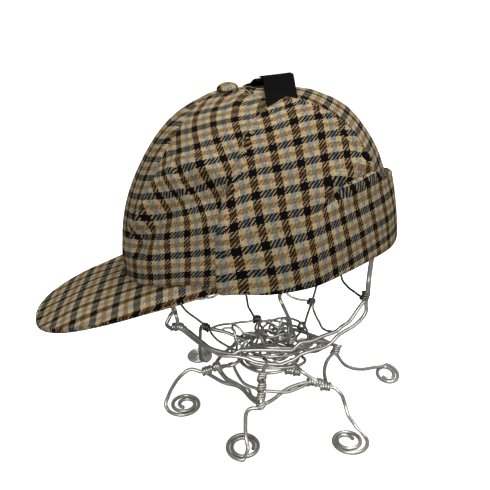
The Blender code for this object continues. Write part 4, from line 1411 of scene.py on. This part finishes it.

# %% Fibres, painted shade and relief of the wool
# the yarn has flecks of lighter, darker, redder and bluer hair, and the cloth has faded slowly;
# hairs are far too fine to show, so a fleck is drawn about 2 mm across
flecks = add_node(tree, "ShaderNodeTexNoise",
                  {"Vector": place_in_object, "Scale": 520.0, "Detail": 3.0, "Roughness": 0.75})
fading = add_node(tree, "ShaderNodeTexNoise",
                  {"Vector": place_in_object, "Scale": 22.0, "Detail": 3.0})
# the flecks and the fading vary the cloth's own tone, and the floats' roundness darkens it where
# each thread dips at its edges and ends, as painted shade; each has its own strength and the least
# factor it gives
tone_and_painted_shade = math_node("ADD", math_node("MULTIPLY", flecks.outputs["Fac"], 1.40), 0.17)
for source, strength, least in ((thread_height, 0.42, 0.76), (fading.outputs["Fac"], 0.22, 0.89)):
    part = math_node("ADD", math_node("MULTIPLY", source, strength), least)
    tone_and_painted_shade = math_node("MULTIPLY", tone_and_painted_shade, part)
hair_colour = add_node(tree, "ShaderNodeVectorMath", {
    0: flecks.outputs["Color"], 1: (1.3, 1.3, 1.6), 2: (0.35, 0.35, 0.20)},
    operation="MULTIPLY_ADD")
flecked = add_node(tree, "ShaderNodeVectorMath", {0: woven.outputs[2], 1: hair_colour.outputs[0]},
                   operation="MULTIPLY")
shaded = add_node(tree, "ShaderNodeVectorMath", {0: flecked.outputs[0], "Scale": tone_and_painted_shade},
                  operation="SCALE")
tree.links.new(shaded.outputs[0], shader.inputs["Base Color"])
fuzz = math_node("ADD", thread_height, math_node("MULTIPLY", flecks.outputs["Fac"], 0.8))
relief_node = add_node(tree, "ShaderNodeBump",
                       {"Height": fuzz, "Distance": 0.00035, "Strength": 0.75})
tree.links.new(relief_node.outputs[0], shader.inputs["Normal"])
for piece in wool_pieces:
    dress(piece, wool)

# %% [markdown]
# ## Black ribbon
# A firm rayon ribbon with fine crosswise ribs, matte. It is just off black, so its folds show.

# %% The ribbon's finish
ribbon_black, tree, shader = new_material("Ribbed black ribbon", roughness=0.72)
shader.inputs["Specular IOR Level"].default_value = 0.03
ribbon_map = add_node(tree, "ShaderNodeUVMap", uv_map="Cloth").outputs["UV"]
parts = add_node(tree, "ShaderNodeSeparateXYZ", {0: ribbon_map})
ribs = math_node("ABSOLUTE", math_node("SINE", math_node("MULTIPLY", parts.outputs["Y"], math.pi)))
yarn = add_node(tree, "ShaderNodeTexNoise", {"Vector": ribbon_map, "Scale": 3.0, "Detail": 2.0})
tone = add_node(tree, "ShaderNodeMix", {
    0: yarn.outputs["Fac"], 6: hex_colour("#030303"), 7: hex_colour("#080808")}, data_type="RGBA")
tree.links.new(tone.outputs[2], shader.inputs["Base Color"])
relief_node = add_node(tree, "ShaderNodeBump",
                       {"Height": ribs, "Distance": 0.0002, "Strength": 0.6})
tree.links.new(relief_node.outputs[0], shader.inputs["Normal"])
for piece in ribbon_pieces:
    dress(piece, ribbon_black)

# %% [markdown]
# ## Wire
# The stand is taken to be of soft drawn aluminium wire, with a dull silver skin and a darker film
# in places, so it reads as bright on its back and dark where it turns from the light. The thin ribs
# lie in the shade deep inside the basket, and get a darker copy of the same finish that shows
# nearly black against the white: painted shade. Drawing lines and plier marks are finer than the
# picture shows, so they are drawn about 1 mm apart.

# %% The finish of both wires
thin_ribs = {f"stand_rib_{number}_wire" for number, row in enumerate(RIBS, 1)
             if row["thick"] == THIN_WIRE}
WIRE_FINISHES = (
    {"name": "Dull drawn aluminium wire", "on_thin_ribs": False,
     "dark": "#9C9C92", "light": "#E2E2D8"},
    # the thin ribs' finish: the same wire made darker, as painted shade of the basket's inside
    {"name": "Darker wire as painted shade", "on_thin_ribs": True,
     "dark": "#33332E", "light": "#8E8E86"},
)
for row in WIRE_FINISHES:
    wire_metal, tree, shader = new_material(row["name"], metallic=0.8)
    place_in_object = add_node(tree, "ShaderNodeTexCoord").outputs["Object"]
    film, scratch = (
        add_node(tree, "ShaderNodeTexNoise",
                 {"Vector": place_in_object, "Scale": scale, "Detail": detail})
        for scale, detail in ((90.0, 4.0), (900.0, 2.0)))
    tone = add_node(tree, "ShaderNodeMix", {
        0: film.outputs["Fac"], 6: hex_colour(row["dark"]), 7: hex_colour(row["light"])},
        data_type="RGBA")
    tree.links.new(tone.outputs[2], shader.inputs["Base Color"])
    dull = math_node("ADD", math_node("MULTIPLY", film.outputs["Fac"], 0.20), 0.18)
    tree.links.new(dull, shader.inputs["Roughness"])
    relief_node = add_node(tree, "ShaderNodeBump", {
        "Height": scratch.outputs["Fac"], "Distance": 0.0001, "Strength": 0.4})
    tree.links.new(relief_node.outputs[0], shader.inputs["Normal"])
    for piece in wire_pieces:
        if (piece.name in thin_ribs) == row["on_thin_ribs"]:
            dress(piece, wire_metal)

# %% [markdown]
# ## Floor and light
# The cap stands on a plain white sweep that glows a little, so that it stays white. Broad soft
# light falls from above, from the wearer's left, from low down in front and weakly from behind.

# %% The floor
# it lies just under the feet
FLOOR_HEIGHT = -0.0004
bpy.ops.object.select_all(action="DESELECT")
bpy.ops.mesh.primitive_plane_add(size=60.0, location=(0, 0, FLOOR_HEIGHT))
floor = bpy.context.active_object
floor.name = "floor"
paper, tree, shader = new_material("White paper sweep", roughness=0.9)
shader.inputs["Base Color"].default_value = hex_colour("#F2F2F2")
shader.inputs["Emission Color"].default_value = (1.0, 1.0, 1.0, 1.0)
shader.inputs["Emission Strength"].default_value = 0.85
floor.data.materials.append(paper)
floor.visible_diffuse = False
floor.visible_glossy = False


# %% Lights
def soft_light(name, place, size, power, aim=(0.0, 0.0, 0.13)):
    lamp = bpy.data.lights.new(name, "AREA")
    lamp.shape = "RECTANGLE"
    lamp.size, lamp.size_y = size
    lamp.energy = power
    holder = bpy.data.objects.new(name, lamp)
    bpy.context.scene.collection.objects.link(holder)
    holder.location = place
    holder.rotation_euler = (Vector(aim) - Vector(place)).to_track_quat("-Z", "Y").to_euler()


soft_light("top_light", (0.0, 0.3, 1.5), (1.0, 1.0), 19.0)
soft_light("front_light", (1.2, -0.2, 0.8), (0.9, 0.9), 7.0)
soft_light("low_light", (1.1, -0.8, 0.35), (0.8, 0.5), 4.5)
soft_light("rear_light", (0.9, 1.0, 0.8), (1.0, 1.0), 3.0)

# %% The room's own light
world = bpy.data.worlds.new("studio")
world.use_nodes = True
direction = add_node(world.node_tree, "ShaderNodeTexCoord").outputs["Generated"]
rise = add_node(world.node_tree, "ShaderNodeSeparateXYZ", {0: direction})
# the room is bright above and on the wearer's left, and dim below and on the right
overhead = add_node(world.node_tree, "ShaderNodeMapRange", {
    0: rise.outputs["Z"], 1: -0.35, 2: 0.35, 3: 0.10, 4: 0.48}, clamp=True)
sideways = add_node(world.node_tree, "ShaderNodeMapRange", {
    0: rise.outputs["X"], 1: -0.8, 2: 0.8, 3: 0.35, 4: 1.45}, clamp=True)
glow = add_node(world.node_tree, "ShaderNodeMath", {0: overhead.outputs[0], 1: sideways.outputs[0]},
                operation="MULTIPLY")
world.node_tree.links.new(glow.outputs[0], world.node_tree.nodes["Background"].inputs["Color"])
bpy.context.scene.world = world
bpy.context.scene.view_settings.view_transform = "Standard"

# %% [markdown]
# ## The camera
# It stands on the wearer's left, a little ahead of square, and looks down 19 degrees.

# %% The camera
PITCH = math.radians(19.0)
AZIMUTH = math.radians(75.0)
# the lens and how far the view is turned aside, in pixels of the picture, and the picture's width
FOCAL, ASIDE, PICTURE = 767.0, 17.0, 490.0
SENSOR = 36.0
CAMERA_AT = (0.5458, -0.1242, 0.3298)
YAW = math.atan(ASIDE / FOCAL)
back = Vector((math.sin(AZIMUTH), -math.cos(AZIMUTH), 0.0))
side = Vector((math.cos(AZIMUTH), math.sin(AZIMUTH), 0.0))
level = -back * math.cos(YAW) - side * math.sin(YAW)
right = side * math.cos(YAW) - back * math.sin(YAW)
ahead = level * math.cos(PITCH) + Vector((0, 0, -math.sin(PITCH)))
upward = right.cross(ahead)
lens = bpy.data.cameras.new("camera")
lens.sensor_width = SENSOR
lens.lens = FOCAL / PICTURE * SENSOR
lens.clip_start = 0.01
camera = bpy.data.objects.new("camera", lens)
bpy.context.scene.collection.objects.link(camera)
frame_of_view = Matrix((right, upward, -ahead)).transposed().to_4x4()
camera.matrix_world = Matrix.Translation(CAMERA_AT) @ frame_of_view
bpy.context.scene.camera = camera

# %% [markdown]
# ## Bodies and soft pieces
# Nothing moves on its own, so all rides on one body. The cloth pieces are declared with the size
# they were cut to.

# %% Declarations
# so much of the cloth that was cut shows as area, and the rest goes into turnings and easing
for piece in wool_pieces + ribbon_pieces + wire_pieces:
    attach(piece, "root")
for sheet in sheets:
    area = sheet["area"]
